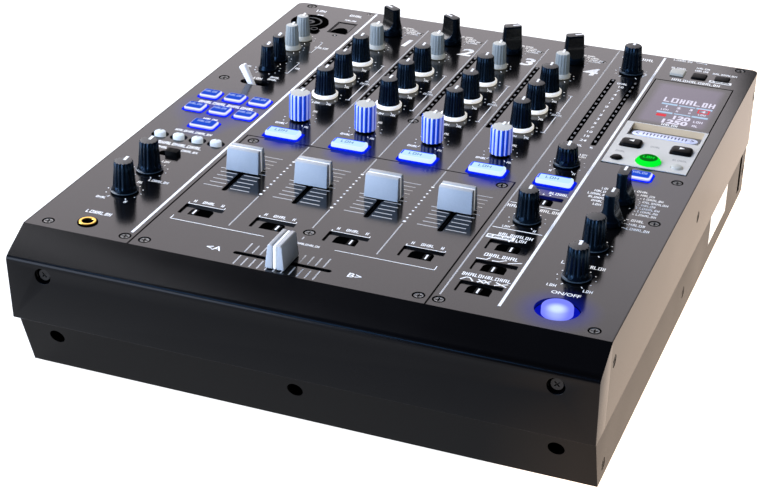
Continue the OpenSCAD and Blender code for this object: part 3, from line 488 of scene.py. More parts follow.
# The camera stands in front, to the right and above
view = {
    "place": (0.32417, -0.95292, 0.53865), "azimuth": 21.17, "pitch": 27.66, "roll": 0.99,
    "lens": 86.56, "shift": (0.0401, 0.0174),
}
az, el, roll = (math.radians(view[key]) for key in ("azimuth", "pitch", "roll"))
ahead = Vector((-math.sin(az) * math.cos(el), math.cos(az) * math.cos(el), -math.sin(el)))
level = Vector((math.cos(az), math.sin(az), 0))
upright = level.cross(ahead)
right = level * math.cos(roll) + upright * math.sin(roll)
up = upright * math.cos(roll) - level * math.sin(roll)
camera = bpy.data.objects.new("camera", bpy.data.cameras.new("camera"))
bpy.context.scene.collection.objects.link(camera)
camera.matrix_world = Matrix.Translation(view["place"]) @ Matrix((right, up, -ahead)).transposed().to_4x4()
camera.data.sensor_width = 36
camera.data.lens = view["lens"]
camera.data.shift_x, camera.data.shift_y = view["shift"]
camera.data.clip_start = 0.05
bpy.context.scene.camera = camera
print("camera placed")

# The floor glows evenly, and warmer in a strip on the right that the casing's side mirrors: x in metres
studio = {
    "world": 0.1, "even": 0.98, "warm": (2.2, 1.76, 1.43, 1), "starts": (0.1, 0.15), "ends": (0.34, 0.18),
}
world = bpy.data.worlds.new("studio")
world.use_nodes = True
world.node_tree.nodes["Background"].inputs["Color"].default_value = (1, 1, 1, 1)
world.node_tree.nodes["Background"].inputs["Strength"].default_value = studio["world"]
bpy.context.scene.world = world
bpy.context.scene.view_settings.view_transform = "Standard"


# Azimuth 0 is in front and 90 on the right, elevation is above the floor
def addLamp(name, azimuth, elevation, distance, size, watts, tint):
    a, e = math.radians(azimuth), math.radians(elevation)
    back = Vector((math.sin(a) * math.cos(e), -math.cos(a) * math.cos(e), math.sin(e)))
    lamp = bpy.data.objects.new(name, bpy.data.lights.new(name, "AREA"))
    lamp.data.shape = "RECTANGLE"
    lamp.data.size, lamp.data.size_y = size
    lamp.data.energy = watts
    lamp.data.color = hexColor(tint)[:3]
    lamp.location = back * distance + Vector((0, 0, 0.08))
    lamp.rotation_euler = back.to_track_quat("Z", "Y").to_euler()
    bpy.context.scene.collection.objects.link(lamp)


addLamp("backSoftbox", 209, 21.2, 1.7, (1.575, 0.972), 9.1, "#fff7fd")
addLamp("frontSoftbox", -38, 13, 1.8, (1.3, 0.9), 40, "#d4e3ff")
addLamp("topSoftbox", -105, 42, 1.6, (1.0, 1.0), 28, "#fbfaff")
addLamp("bendStrip", -27, 46, 1.6, (1.3, 0.3), 12, "#6cb0ff")

# Matt white acrylic, lit from below: an even pale ground
lightTable = makeFinish(
    "matt white acrylic, lit from below", "#959595", "#8f8f8f", 3, (0.8, 0.9), 0, 400, shine=1.0
)
tree = lightTable.node_tree
place = addNode(tree, "SeparateXYZ", {0: addNode(tree, "TexCoord").outputs["Object"]})
inside, outside = (
    addNode(tree, "MapRange", {"Value": place.outputs[0], "From Min": start, "From Max": end})
    for start, end in (studio["starts"], studio["ends"])
)
both = addNode(tree, "Math", {0: inside.outputs[0], 1: outside.outputs[0]}, operation="MULTIPLY")
even = [studio["even"]] * 3 + [1]
glow = addNode(tree, "Mix", {0: both.outputs[0], 6: even, 7: studio["warm"]}, data_type="RGBA")
tree.links.new(glow.outputs[2], tree.nodes["Principled BSDF"].inputs["Emission Color"])
ground = bmesh.new()
bmesh.ops.create_grid(ground, x_segments=1, y_segments=1, size=6)
floor = bpy.data.objects.new("floor", bpy.data.meshes.new("floor"))
ground.to_mesh(floor.data)
ground.free()
floor.data.materials.append(lightTable)
bpy.context.scene.collection.objects.link(floor)
print("light and floor ready")

# CAD nodes that keep their shape
for node, finish in {
    "control_panel": panelEnamel, "fader_panel": faderEnamel, "bottom_tray": trayPowder,
    "rear_panel": trayPowder, "effects_plate": plateAluminium, "display_windows": windowAcrylic,
    "feet": footRubber, "circuit_boards": boardLaminate,
}.items():
    frame["nodes"][node].data.materials.clear()
    frame["nodes"][node].data.materials.append(finish)

# Front cover: the CAD shape with its outer edges eased
cover = {"edge": 0.5, "segments": 3, "sharp": math.radians(40), "inner": -0.4}
bm = copyNode("front_cover")
bmesh.ops.remove_doubles(bm, verts=bm.verts, dist=1e-3)
bmesh.ops.dissolve_limit(bm, angle_limit=math.radians(0.5), verts=bm.verts, edges=bm.edges)
outer = [e for e in bm.edges if e.is_manifold and all(v.co.y < cover["inner"] for v in e.verts)]
ease(bm, [e for e in outer if e.calc_face_angle() > cover["sharp"]], cover["edge"], cover["segments"])
finishPiece("frontCover", bm, [coverAbs], "root", ["front_cover"], turnOut=False)
print("casing ready")

# Screws: grey heads, black ones in the sides; black painted as shade in their cross recesses and
# countersinks, a painted shadow ring round each, and a darker grey painted on the front heads as shade
screw = {
    "shadowRing": 3.55, "shadowRingWidth": 0.9, "recess": (-0.5, -0.2), "turn": 20, "forward": 4.2,
    "spots": [
        (-154.2, 7.3), (154.2, 7.3), (-107, 7.4), (72.5, 7.4), (-17, 217), (-154.5, 235), (154.1, 193.5),
        (154.1, 136), (-154.2, 383), (154.2, 383), (-95.2, 7.4), (61.6, 7.4), (-95.3, 150), (61.5, 150),
        (-17, 50.5),
    ],
}
bm = copyNode("screws")
for v in bm.verts:
    if v.co.y < -2 and v.co.z < -12:
        v.co.y -= screw["forward"]
for f in bm.faces:
    mid = f.calc_center_median()
    flat = max(abs(c) for c in f.normal) > 0.99
    # The side screws are black; countersink walls and faces below the head top take the same black as painted
    # shade, and the front heads a darker grey as painted shade
    dark = abs(mid.x) > 155 and mid.z < -8 or not flat or -3 < mid.z < -0.45
    f.material_index = 1 if dark else 3 if mid.y < -2 else 0
# Painted shadow: a black ring round each head, and black cross recesses
for x, y in screw["spots"]:
    addTo(bm, ringPlate(oval(screw["shadowRing"], screw["shadowRing"]), screw["shadowRingWidth"], -0.3, 0.03, 2), x, y)
    for turn in (0, 90):
        addTo(bm, raised(rect(-2.1, -0.5, 2.1, 0.5), *screw["recess"], 2), x, y, 0, turn + screw["turn"])
heads = [blackZinc, blackOxideAndShade, blackAndShade, flapAbs]
finishPiece("screwHeads", bm, heads, "root", ["screws"], turnOut=False)

# Blank paper label on the tray's right side
label = {"y": (267, 320), "z": (-73, -48), "thick": 0.1}
bm = bmesh.new()
side = 1000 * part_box("bottom_tray")[1].x
low, high = label["z"]
addBar(bm, side, label["y"][0], side, label["y"][1], label["thick"], (low + high) / 2, 0, high - low)
finishPiece("blankLabel", bm, [labelPaper], "root")


# A knob's fluted body: its rings between two heights are pulled in and out round the axis
def flute(part, z0, z1, count, depth):
    for v in part.verts:
        r = math.hypot(v.co.x, v.co.y)
        if z0 - 0.01 <= v.co.z <= z1 + 0.01 and r > 3:
            wave = (0.5 - 0.5 * math.cos(count * math.atan2(v.co.y, v.co.x))) ** 0.6
            pull = 1 - depth * (1 - wave) / r
            v.co.x *= pull
            v.co.y *= pull


knobKinds = {
    "eq": {"skirt": 8.3, "foot": 6.6, "top": 5.5, "height": 19, "flutes": 18, "depth": 0.45},
    "level": {"skirt": 8.1, "foot": 6.6, "top": 5.6, "height": 19, "flutes": 14, "depth": 0.6},
    "balance": {"skirt": 8.1, "foot": 6.6, "top": 5.9, "height": 12, "flutes": 14, "depth": 0.6},
    "trim": {"skirt": 5.9, "foot": 4.9, "top": 4.5, "height": 17, "flutes": 14, "depth": 0.35},
    "mic": {"skirt": 6.2, "foot": 5, "top": 4, "height": 17, "flutes": 14, "depth": 0.3},
}
bell = 3.4  # top of the skirt of a level knob
hover = 0.4  # gap between a knob and the panel
ceiling = 1000 * (cadBounds[1][2] - panelHi.z) - 0.02  # nothing stands higher over the panel
pointer = {"wide": 1.7, "narrow": 1.35, "crest": 0.75, "mark": (1.1, 0.8, 7)}


def makeKnob(name, kind, body, top, skirt, slotName, marked=True):
    k = knobKinds[kind]
    bm = bmesh.new()
    h, r, s, foot = (k[key] for key in ("height", "top", "skirt", "foot"))
    if kind == "eq":  # white disc skirt under a body with a small flare
        disc = [(0, hover), (s - 0.5, hover), (s, 1.0), (s, 2.4), (s - 0.4, 2.8), (foot, 3), (0, 3)]
        addTo(bm, turned(disc, 64, 2))
        profile = [(0, 2.9), (foot + 0.5, 2.9), (foot + 0.4, 3.6), (foot, 4.6)]
    elif kind in ("trim", "mic"):  # pale cone under a narrower body
        cone = [(0, hover), (s - 0.2, hover), (s, 0.7), (s, 1.1), (foot + 0.5, 2.4), (foot + 0.1, 3.4)]
        addTo(bm, turned(cone + [(0, 3.4)], 64, 2))
        profile = [(0, 3.2), (foot + 0.05, 3.2), (foot, 3.8)]
    else:  # thin flange with a rim painted lighter as a highlight, then a bell
        addTo(bm, turned([(0, hover), (s - 0.4, hover), (s - 0.3, 0.9), (0, 0.9)], 64, 2))
        addTo(bm, turned([(s - 0.3, 0.85), (s, 1.0), (s, 1.35), (s - 0.4, 1.5), (s - 0.5, 1.4)], 64, 4))
        addTo(bm, turned([(s - 0.5, 1.4), (s - 1.1, 1.8), (foot + 0.2, bell), (0, bell)], 64, 2))
        profile = [(0, bell - 0.4), (foot + 0.3, bell - 0.4), (foot + 0.1, bell + 0.6), (foot, bell + 1.6)]
    z0 = profile[-1][1]
    profile += [(foot + (r - foot) * f, z0 + (h - 0.5 - z0) * f) for f in (0.33, 0.66, 1)]
    profile += [(r - 0.3, h - 0.12), (r - 0.9, h), (0, h)]
    part = turned(profile, k["flutes"] * 6)
    flute(part, z0 - 1.1, h - 0.1, k["flutes"], k["depth"])
    paint([f for f in part.faces if f.calc_center_median().z > h - 0.2], 1)
    addTo(bm, part)
    if marked:  # a wedge on the top and a line down the front
        half = pointer["wide" if kind != "eq" and top is knobCapAbs else "narrow"] / 2
        crest = min(pointer["crest"], ceiling - h)
        fin = raised(rect(-half, 0.2, half, r - 0.05), h - 0.3, h + crest, 3)
        for v in fin.verts:
            v.co.z -= (crest + 0.1) * (1 - v.co.y / r) * (v.co.z > h)
        addTo(bm, fin)
        lean = (foot - r) / (h - z0)
        spot = Matrix.Translation((0, r + lean * 3.4 - 0.25, h - 3.6))
        tilt = Matrix.Rotation(math.atan(lean), 4, "X")
        addBlock(bm, spot @ tilt @ Matrix.Diagonal((*pointer["mark"], 1)), 3)
    movePart(bm, *axisOf(name))
    finishPiece(name + "_cap", bm, [body, top, skirt, whiteInk, rimHighlightAbs], name, [name])


blackKnob = (knobAbs, knobCapAbs, knobAbs, "black_knob")
greyKnob = (greyKnobAbs, paleKnobAbs, paleKnobAbs, "grey_knob")
for i in range(1, 5):
    for band in ("high", "mid", "low"):
        makeKnob(f"{band}_knob_{i}", "eq", knobAbs, knobCapAbs, ringAbs, "black_knob")
    makeKnob(f"trim_knob_{i}", "trim", *greyKnob)
for name in ("phones_mixing", "phones_level", "master_level", "booth_level", "effect_depth"):
    makeKnob(name + "_knob", "level", *blackKnob)
makeKnob("effect_time_knob", "level", *blackKnob, marked=False)
makeKnob("balance_knob", "balance", *blackKnob)
for i in (1, 2):
    makeKnob(f"mic_level_knob_{i}", "mic", *greyKnob)
for name in ("mic_high_knob", "mic_low_knob"):
    makeKnob(name, "mic", *blackKnob)
print("knobs ready")

# Colour knobs: wide flutes, one wall of each lit lilac, partly a painted highlight, and more of them lit
# towards one side as painted light
colourKnob = {
    "radius": 6.75, "height": 17.8, "flutes": 13, "depth": 0.7, "lit": 0.48, "drift": 0.22, "waves": 2.2,
}
for i in range(1, 5):
    r, h, count = (colourKnob[key] for key in ("radius", "height", "flutes"))
    profile = [(0, hover), (r - 1.2, hover), (r - 1.2, 1.2), (r - 0.1, 1.3), (r, 6), (r, 12), (r, h - 0.6)]
    part = turned(profile + [(r - 0.35, h - 0.1), (r - 0.9, h), (0, h)], count * 8)
    flute(part, 1.25, h + 0.1, count, colourKnob["depth"])
    for f in part.faces:
        mid = f.calc_center_median()
        angle = math.atan2(mid.y, mid.x)
        # Painted highlight: the share of lilac walls grows towards one side
        share = colourKnob["lit"] + colourKnob["drift"] * math.sin(colourKnob["waves"] * angle)
        lit = (count * angle / (2 * math.pi)) % 1 < share
        f.material_index = 2 if mid.z > h - 0.3 else 3 if mid.z < 1.25 else int(lit)
    bm = bmesh.new()
    addTo(bm, part)
    addTo(bm, raised(rect(-0.7, r - 3.6, 0.7, r - 0.3), h - 0.3, h + 0.6, 4))
    name = f"colour_knob_{i}"
    movePart(bm, *axisOf(name))
    walls = [bluePolycarbonate, lilacPolycarbonate, paleKnobAbs, knobAbs, whiteInk]
    finishPiece(name + "_cap", bm, walls, name, [name])

# Selector knobs: a round skirt under a finger grip; its two scoops narrow from "start" up, in a bend
selector = {
    "skirt": 7.5, "foot": 3.9, "radius": 7.0, "taper": 0.9, "height": 19.3,
    "grip": 3.0, "start": 4.2, "scoop": 9, "bend": 2.6,
}


def makeSelector(name, turn=0):
    s, foot, r, taper, h, grip, start, scoop, bend = selector.values()
    bm = bmesh.new()
    addTo(bm, turned([(0, hover), (s - 0.3, hover), (s, 0.8), (s, 3.4), (s - 0.5, 4), (0, 4)], 64))
    rings = [(r - taper * i / 24, foot + (h - 4.6) * i / 24) for i in range(25)]
    part = turned([(0, foot)] + rings + [(r - 1.1, h - 0.2), (r - 1.6, h), (0, h)], 96)
    for v in part.verts:
        rise = max(0.0, min(1.0, 1 - (v.co.z - start) / scoop))
        half = grip + (r - grip) * rise ** bend
        v.co.x = max(-half, min(half, v.co.x))
    for f in part.faces:
        mid = f.calc_center_median()
        skin = r - taper * (mid.z - foot) / (h - 4.6) - 0.12
        # Painted light: on the turned selectors the scoop faces take a lighter black
        if 4.6 < mid.z < h - 1.2 and math.hypot(mid.x, mid.y) < skin:
            f.material_index = 3 if turn else 0
    bmesh.ops.dissolve_degenerate(part, dist=1e-4, edges=part.edges)
    paint([f for f in part.faces if f.calc_center_median().z > h - 0.1], 1)
    addTo(bm, part)
    addBar(bm, 0, 0.2, 0, r - 1.3, 1.5, h + 0.02, 2, 0.12)
    addBar(bm, 0, r - 0.96, 0, r - 0.86, 1.5, h - 1.7, 2, 2.8)
    movePart(bm, *axisOf(name), 0, turn)
    finishPiece(name + "_cap", bm, [knobAbs, knobCapAbs, whiteInk, scoopLitAbs], name, [name])


for i in range(1, 5):
    makeSelector(f"input_selector_{i}", 56 if i < 3 else -56)
makeSelector("effect_selector")
makeSelector("effect_channel_selector")

# Fader caps: two slanted halves with a white rib between them
capSize = {
    "width": 20.6, "foot": 5.5, "top": 4.0, "height": 14.4, "rib": 0.75, "slit": 0.4, "bottom": 0.6,
    "draft": 0.035,  # how far the ends lean in, as a part of their height
}


def makeFaderCap(name, x, y, turn=0):
    width, foot, top, h, rib, slit, bottom, draft = capSize.values()
    bm = bmesh.new()
    inner = rib + slit
    outline = [
        (inner, bottom), (foot, bottom), (top + 0.1, h - 0.9), (top - 0.7, h), (inner + 0.3, h - 0.15),
        (inner, h - 0.6),
    ]
    for side in (-1, 1):
        slab = bmesh.new()
        thicken(slab, [addFace(slab, [(-width / 2, side * a, b) for a, b in outline])], (width, 0, 0))
        for v in slab.verts:
            v.co.x *= 1 - draft * v.co.z / h
        bmesh.ops.recalc_face_normals(slab, faces=slab.faces)
        sharp = [e for e in slab.edges if e.calc_face_angle() > math.radians(50)]
        upper = [e for e in sharp if all(v.co.z > 1 for v in e.verts)]
        ends = [e for e in sharp if e not in upper and abs(e.verts[0].co.z - e.verts[1].co.z) > 5]
        ease(slab, upper + ends, 0.45, 3)
        for f in slab.faces:
            f.material_index = int(f.calc_center_median().z > h - 1.2)
        addTo(bm, slab)
    middle = raised(roundRect(width - 0.5, 2 * rib, 0.3, 2), bottom, h - 0.5, 2)
    beveledTop(middle, 0.3)
    addTo(bm, middle)
    addTo(bm, raised(roundRect(width - 3, 2 * inner + 0.2, 0.3, 1), bottom, h - 1.4, 3))
    addTo(bm, raised(roundRect(1, 5, 0.3, 1), -9, bottom + 0.3, 3))
    movePart(bm, x, y, 0, turn)
    finishPiece(name + "_cap", bm, [capPaint, capTop, whiteInk, blackNylon], name, [name])


for i, rest in enumerate((2.8, 1.6, 1.2, 2.4)):
    makeFaderCap(f"channel_fader_{i + 1}", channelX[i], 108 + rest)
makeFaderCap("crossfader", -17.1, 13.4, -90)
print("fader caps ready")

# Keys: x, y, width, depth and height of each, by kind; the round ones have a radius
keys = {
    "travel": 4,
    "cue": [(x, 165.2, 21.5, 10.5, 2.8) for x in channelX + [88.4]],
    "effect": [(x, y, 13.5, 12, 2) for y in (204.2, 182) for x in (-149.5, -132.5, -115.5)]
    + [(132.4, 193, 14.2, 11.4, 2), (-132.7, 159.2, 17.5, 12, 2)],
    "top": [(116.7, 362.2, 9.3, 8.8, 1.4), (131.3, 361.4, 9.3, 8.4, 0.9), (146.2, 362.2, 9.3, 8.2, 0.8)],
    "beat": [(116.3, 236.3, 13, 10.6, 2.4), (147, 236.3, 13, 10.6, 2.4)],
    "round": [(x, 136.5, 3.5, 2.2) for x in (-151.2, -138.7, -126.2, -113.9)],
    "plate": [(113.1, 213, 3.3, 1.9), (149.3, 213, 3.3, 1.9)],
    "tap": (131.9, 214.6),
}
keyFinishes = [
    cueSide, cueTop, fxSide, fxTop, keyAbs, paleKnobAbs, tapSide, tapTop, blueGlow, keyInk, whiteInk, cueInk,
    roundKeyAbs, fxEdgeHighlight, cueRim,
]
lookOf = keyFinishes.index
bm = bmesh.new()
halos = bmesh.new()


# Lit keys: gap round the cap in its opening, width of the blue light painted on its rim, reach and shift of
# its painted halo of light, and the word on top as its place, letters, height and stretch
litKinds = {
    "cue": {
        "gap": (0.3, 0.9), "rim": 0.54, "halo": 1.5, "shift": (0.3, -0.5), "word": (-1.5, 0.4, 3, 3.2, 1.35),
        "looks": (cueSide, cueTop, cueInk),
    },
    "effect": {
        "gap": (1.4, 1.4), "rim": 0.225, "halo": 0.7, "shift": (0, 0), "word": (-0.6, 1.6, 5, 2.7, 1.0),
        "looks": (fxSide, fxTop, keyInk),
    },
}


# A lit key: a blue skirt in the opening, a pale cap with blue light painted on its back and left edges, a
# word on top, and a painted halo of light round it
def addLitKey(kind, x, y, w, d, h):
    gap, rim, halo, shift, word, (side, top, ink) = litKinds[kind].values()
    addTo(bm, raised(roundRect(w, d, 1.6, 3), -keys["travel"], 0.3, lookOf(blueGlow)), x, y)
    w2, d2 = w - gap[0], d - gap[1]
    part = raised(roundRect(w2, d2, 1.8, 3), -keys["travel"], h, lookOf(side))
    beveledTop(part, 0.9, 3, lookOf(top))
    for f in part.faces:
        mid = f.calc_center_median()
        # Painted light: blue on the back and left edge faces of the cap
        if mid.z > 0 and f.normal.z < 0.75 and (mid.y > d2 / 2 - rim or mid.x < -w2 / 2 + rim):
            f.material_index = lookOf(blueGlow)
        # Painted highlight: the bevel faces of an effect key glow white
        elif side is fxSide and 0.1 < f.normal.z < 0.9:
            f.material_index = lookOf(fxEdgeHighlight)
    addTo(bm, part, x, y + 0.1)
    dx, dy, letters, height, wide = word
    addCaption(bm, x + dx, y + dy, letters, height, lookOf(ink), h, wide)
    # Painted light: a blue halo on the panel round the key
    outline = roundRect(w + 2 * halo, d + 2 * halo, 2.4, 3)
    addTo(halos, ringPlate(outline, halo + 0.1, -0.02, 0.04), x + shift[0], y + shift[1])
    return w2, d2


for x, y, w, d, h in keys["cue"]:
    w2, d2 = addLitKey("cue", x, y, w, d, h)
    left, back = x - w2 / 2, y + d2 / 2
    # Painted light: blue bars along the left and back of the cap's top, and blue strips on the panel before
    # the key
    addBar(bm, left + 1.1, y - d2 / 2 + 2.4, left + 1.1, back - 1.2, 0.8, h, lookOf(cueRim), 0.05)
    addBar(bm, left + 1.2, back - 1.0, x + w2 / 2 - 2.0, back - 1.0, 0.9, h, lookOf(cueRim), 0.05)
    addTo(halos, raised(roundRect(w - 0.6, 2.4, 0.6, 2), -0.02, 0.045, 0), x + 0.9, y - d / 2 - 1.5)
    addTo(halos, raised(roundRect(w - 2, 2.2, 0.6, 2), -0.02, 0.045, 1), x + 1.8, y - d / 2 - 4.9)
for key in keys["effect"]:
    addLitKey("effect", *key)


# A round key on its axis: its profile closes at the top
def addRoundKey(spot, profile, finish, steps=40):
    base = [(0, -keys["travel"]), (profile[0][0], -keys["travel"])]
    addTo(bm, turned(base + profile, steps, lookOf(finish)), *spot)


blocks = [(key, 0.3, 0.8, keyAbs if i else paleKnobAbs) for i, key in enumerate(keys["top"])]
for (x, y, w, d, h), edge, corner, finish in blocks + [(key, 1.3, 2.6, keyAbs) for key in keys["beat"]]:
    part = raised(roundRect(w, d, corner, 3), -keys["travel"], h, lookOf(finish))
    beveledTop(part, edge, 3)
    addTo(bm, part, x, y)
for side, (x, y, w, d, h) in zip((-1, 1), keys["beat"]):
    arrow = [(x - side * 1.4, y - 0.4), (x + side * 1.8, y + 1.1), (x - side * 1.4, y + 2.6)]
    addTo(bm, raised(arrow[::side], h - 0.02, h + 0.06, lookOf(whiteInk)))
for x, y, r, h in keys["round"]:
    addRoundKey((x, y), [(r, h - 0.9), (r - 0.3, h - 0.3), (r - 0.9, h), (0, h)], roundKeyAbs)
    addBar(bm, x - 0.6, y + 1.2, x + 0.3, y + 2.6, 0.5, h, lookOf(keyAbs), 0.1)
for (x, y, r, h), finish in zip(keys["plate"], (keyAbs, paleKnobAbs)):
    addRoundKey((x, y), [(r, h - 0.8), (r - 0.3, h - 0.3), (r - 1, h), (0, h + 0.1)], finish)
addRoundKey(keys["tap"], [(7.4, 1.1), (7.1, 1.9), (6.3, 2.8), (5.4, 3.2)], tapSide, 48)
addTo(bm, turned([(5.4, 3.2), (5.2, 3.35), (3, 3.45), (0, 3.45)], 48, lookOf(tapTop)), *keys["tap"])
bmesh.ops.remove_doubles(bm, verts=bm.verts, dist=1e-4)
addCaption(bm, keys["tap"][0], keys["tap"][1] + 0.2, 3, 2.8, lookOf(tapSide), 3.5, 1.3)
finishPiece("panelKeyCaps", bm, keyFinishes, "panel_keys", ["panel_keys"])
finishPiece("keyHalos", halos, [blueHalo, blueShade], "root")
print("keys ready")

# Round effect button: a lit dome in its well, pale round a painted highlight and bluer towards the rim; the
# well's blue glow is painted light
button = {
    "x": 131.2, "y": 21.3, "radius": 8.3, "height": 2.3, "well": 11.7,
    # lamp: the centre of the painted highlight, set in front of the dome's middle
    "lamp": (131.8, 17.6, 1.6), "near": (0.0015, "#d8ecff"), "far": (0.0072, "#7c84ff"),
}
tree = buttonTop.node_tree
place = addNode(tree, "TexCoord").outputs["Object"]
away = addNode(tree, "VectorMath", {0: place, 1: toFrame @ Vector(button["lamp"])}, operation="DISTANCE")
fade = addNode(
    tree, "MapRange",
    {"Value": away.outputs["Value"], "From Min": button["near"][0], "From Max": button["far"][0]},
    interpolation_type="SMOOTHSTEP",
)
pale, blue = hexColor(button["near"][1]), hexColor(button["far"][1])
glow = addNode(tree, "Mix", {0: fade.outputs[0], 6: pale, 7: blue}, data_type="RGBA")
tree.links.new(glow.outputs[2], tree.nodes["Principled BSDF"].inputs["Emission Color"])
bm = bmesh.new()
r, h = button["radius"], button["height"]
addTo(bm, turned([(0, -4), (button["well"], -4), (button["well"], -2.4), (r, -2.4)], 64, 1))
addTo(bm, turned([
    (r, -2.4), (r, h - 1.3), (r - 0.1, h - 0.8), (r - 0.4, h - 0.45), (r - 0.9, h - 0.35), (r - 2, h - 0.15),
    (4.6, h - 0.03), (0, h),
], 64))
bmesh.ops.remove_doubles(bm, verts=bm.verts, dist=1e-3)
movePart(bm, button["x"], button["y"])
dome = [buttonTop, wellBlue]
finishPiece("onOffDome", bm, dome, "on_off_button", ["on_off_button"])

# Slide switch knobs: ribbed black blocks with a white line; the headphone one is wider, taller and plain
slideKinds = {
    "narrow": {"size": (3.6, 7.4), "top": -0.5, "ribs": (-1.3, 1.3), "line": True},
    "wide": {"size": (8, 5.6), "top": 2.9, "ribs": (-2.1, -1.2, 1.2, 2.1), "line": False},
}
slideSets = {
    "crossfader_assign_1": [(channelX[0] - 3.4, 49, "narrow")],
    "crossfader_assign_2_to_4": [(x + 3.4, 49, "narrow") for x in channelX[1:]],
    "curve_switches": [(88, 49.5, "narrow"), (88, 24, "narrow")],
    "stereo_switches": [(90, 138, "narrow"), (90, 75, "narrow"), (-130.9, 113, "wide")],
}
for node, spots in slideSets.items():
    bm = bmesh.new()
    for x, y, kind in spots:
        k = slideKinds[kind]
        part = raised(roundRect(*k["size"], 0.4, 2), -5.2, k["top"])
        beveledTop(part, 0.3)
        addTo(bm, part, x, y)
        for rib in k["ribs"]:
            addBar(bm, x + rib, y - 2.4, x + rib, y + 2.4, 0.35, k["top"], 0, 0.3)
        if k["line"]:
            addBar(bm, x, y - 2.0, x, y + 3.0, 1.0, k["top"] + 0.05, 1, 0.14)
    finishPiece(node + "_knobs", bm, [slideAbs, whiteInk], node, [node])

# Painted shade: dark sheets in the recesses round the slide slots
bm = bmesh.new()
for x, y in [(x, 49) for x in channelX] + [(88, 49.5), (88, 24), (87.9, 75), (87.9, 138)]:
    addTo(bm, raised(roundRect(13.2, 10.2, 2.6, 4), -1.24, -1.16), x, y + 1.1)
finishPiece("slotRecessShade", bm, [blackAndShade], "root")

# Microphone lever: a flat white paddle on a barrel
lever = {
    "lean": 27, "length": 19, "width": 4.4, "thick": 4.2, "barrel": 2.5,
    "pivot": (-132.5, 235, -6), "foot": (0.75, 0.85),  # its thickness and width there, against the tip
}
bm = bmesh.new()
paddle = bmesh.new()
long, half = lever["length"], lever["thick"] / 2
addBar(paddle, -half, 0, half, 0, lever["width"], long / 2 + 0.5, 0, long - 1)
thin, slim = lever["foot"]
for v in paddle.verts:
    v.co.x *= thin + (1 - thin) * v.co.z / long
    v.co.y *= slim + (1 - slim) * v.co.z / long
ease(paddle, paddle.edges[:], 0.6, 4)
addTo(bm, paddle)
barrel = turned([(0, -2.1), (lever["barrel"], -2.1), (lever["barrel"], 2.1), (0, 2.1)], 32, 1)
turnPart(barrel, 90, "X")
addTo(bm, barrel)
turnPart(bm, -lever["lean"], "Y")
movePart(bm, *lever["pivot"])
finishPiece("micLever", bm, [whiteNylon, blackNylon], "mic_switch", ["mic_switch"])
print("switches ready")

# Printing on the top: 0 white ink, 1 grey ink, 2 black
bm = bmesh.new()
for x, width, finish in ((-105.5, 1.6, 0), (103, 1.6, 0), (71.3, 0.9, 1)):
    addBar(bm, x, 12.7, x, 386, width, 0, finish)
for x in (-60.9, -17.5, 25.8):
    foot = ((56, 81), (41.5, 44.5)) if x == -17.5 else ((41, 81),)
    for y0, y1 in ((158.2, 370), (133, 154.8), *foot):
        addBar(bm, x, y0, x, y1, 0.8, 0, 1)
    for i in range(11):
        addDot(bm, x, 131.5 - 4.75 * i, 1.0 if i in (0, 10) else 0.75)
for i, c in enumerate(channelX):
    for j in range(11):
        y = 83.8 + 4.8 * j
        reach = 14.3 if j in (0, 5, 10) else 12.6
        for side in (-1, 1):
            addBar(bm, c + side * 2.4, y, c + side * reach, y, 0.8, 0, 1)
    addBar(bm, c - 11, 57.4, c + 11, 57.4, 0.5)
    for side in (-11, 11):
        addBar(bm, c + side, 57.4, c + side, 59.2, 0.5)
    addText(bm, str(i + 1), 17.5, c + 15.2, 340.8, 0, 0, 1.05, 0.12, 0.5)
    for y in (294.2, 263.2, 232.2):
        addScale(bm, c, y, 10.4, dot=0.5)
        addCaption(bm, c + 7.8, y - 12, 2, 2.8)
    addScale(bm, c, 324.5, 8.4, dot=0.45)
    addScale(bm, c, 191.5, 10.2)
    addScale(bm, c, 354, 9.6, 112, 28, 0.38, False)
    bracket = c + 16.2 if i < 3 else c + 15
    for y0, y1 in ((232, 259), (268, 295.2)):
        addBar(bm, bracket, y0, bracket, y1, 0.65)
    for y in (232, 295.2):
        addBar(bm, bracket - 2, y, bracket + 1, y, 0.6)
    for x, y, letters, height in (
        (c - 8.4, 61.4, 1, 3.0), (c, 61.4, 4, 3.0), (c + 8.4, 61.4, 1, 3.0), (c - 1.2, 220, 3, 2.6),
        (c - 8.9, 181.5, 4, 2.6), (c + 8.6, 181.5, 2, 2.6), (c + 4.4, 206.3, 2, 2.8),
        (bracket, 265.4, 2, 2.4), (bracket + 0.2, 261.4, 4, 2.8), (c + 7.6, 368.6, 6, 2.3),
        (c + 11, 365.5, 6, 2.3), (c + 13.2, 362.4, 7, 2.3), (c + 13.6, 359.3, 6, 2.3),
    ):
        addCaption(bm, x, y, letters, height)
for i in range(11):
    short = 0 if i in (0, 5, 10) else 1.2
    for y0, y1 in ((16, 26.5), (1.2, 11.5)):
        addBar(bm, -40 + 4.54 * i, y0, -40 + 4.54 * i, y1 - short, 0.8, 0, 1)
addText(bm, "<A", 6.5, -57, 13.5, stretch=1.1)
addText(bm, "B>", 6.5, 24, 13.5, stretch=1.1)
for end, start in ((-94.3, -38), (60, 3.5)):
    addBar(bm, end, 36.5, start, 36.5, 0.5)
    addBar(bm, end, 36.3, end, 41, 0.5)

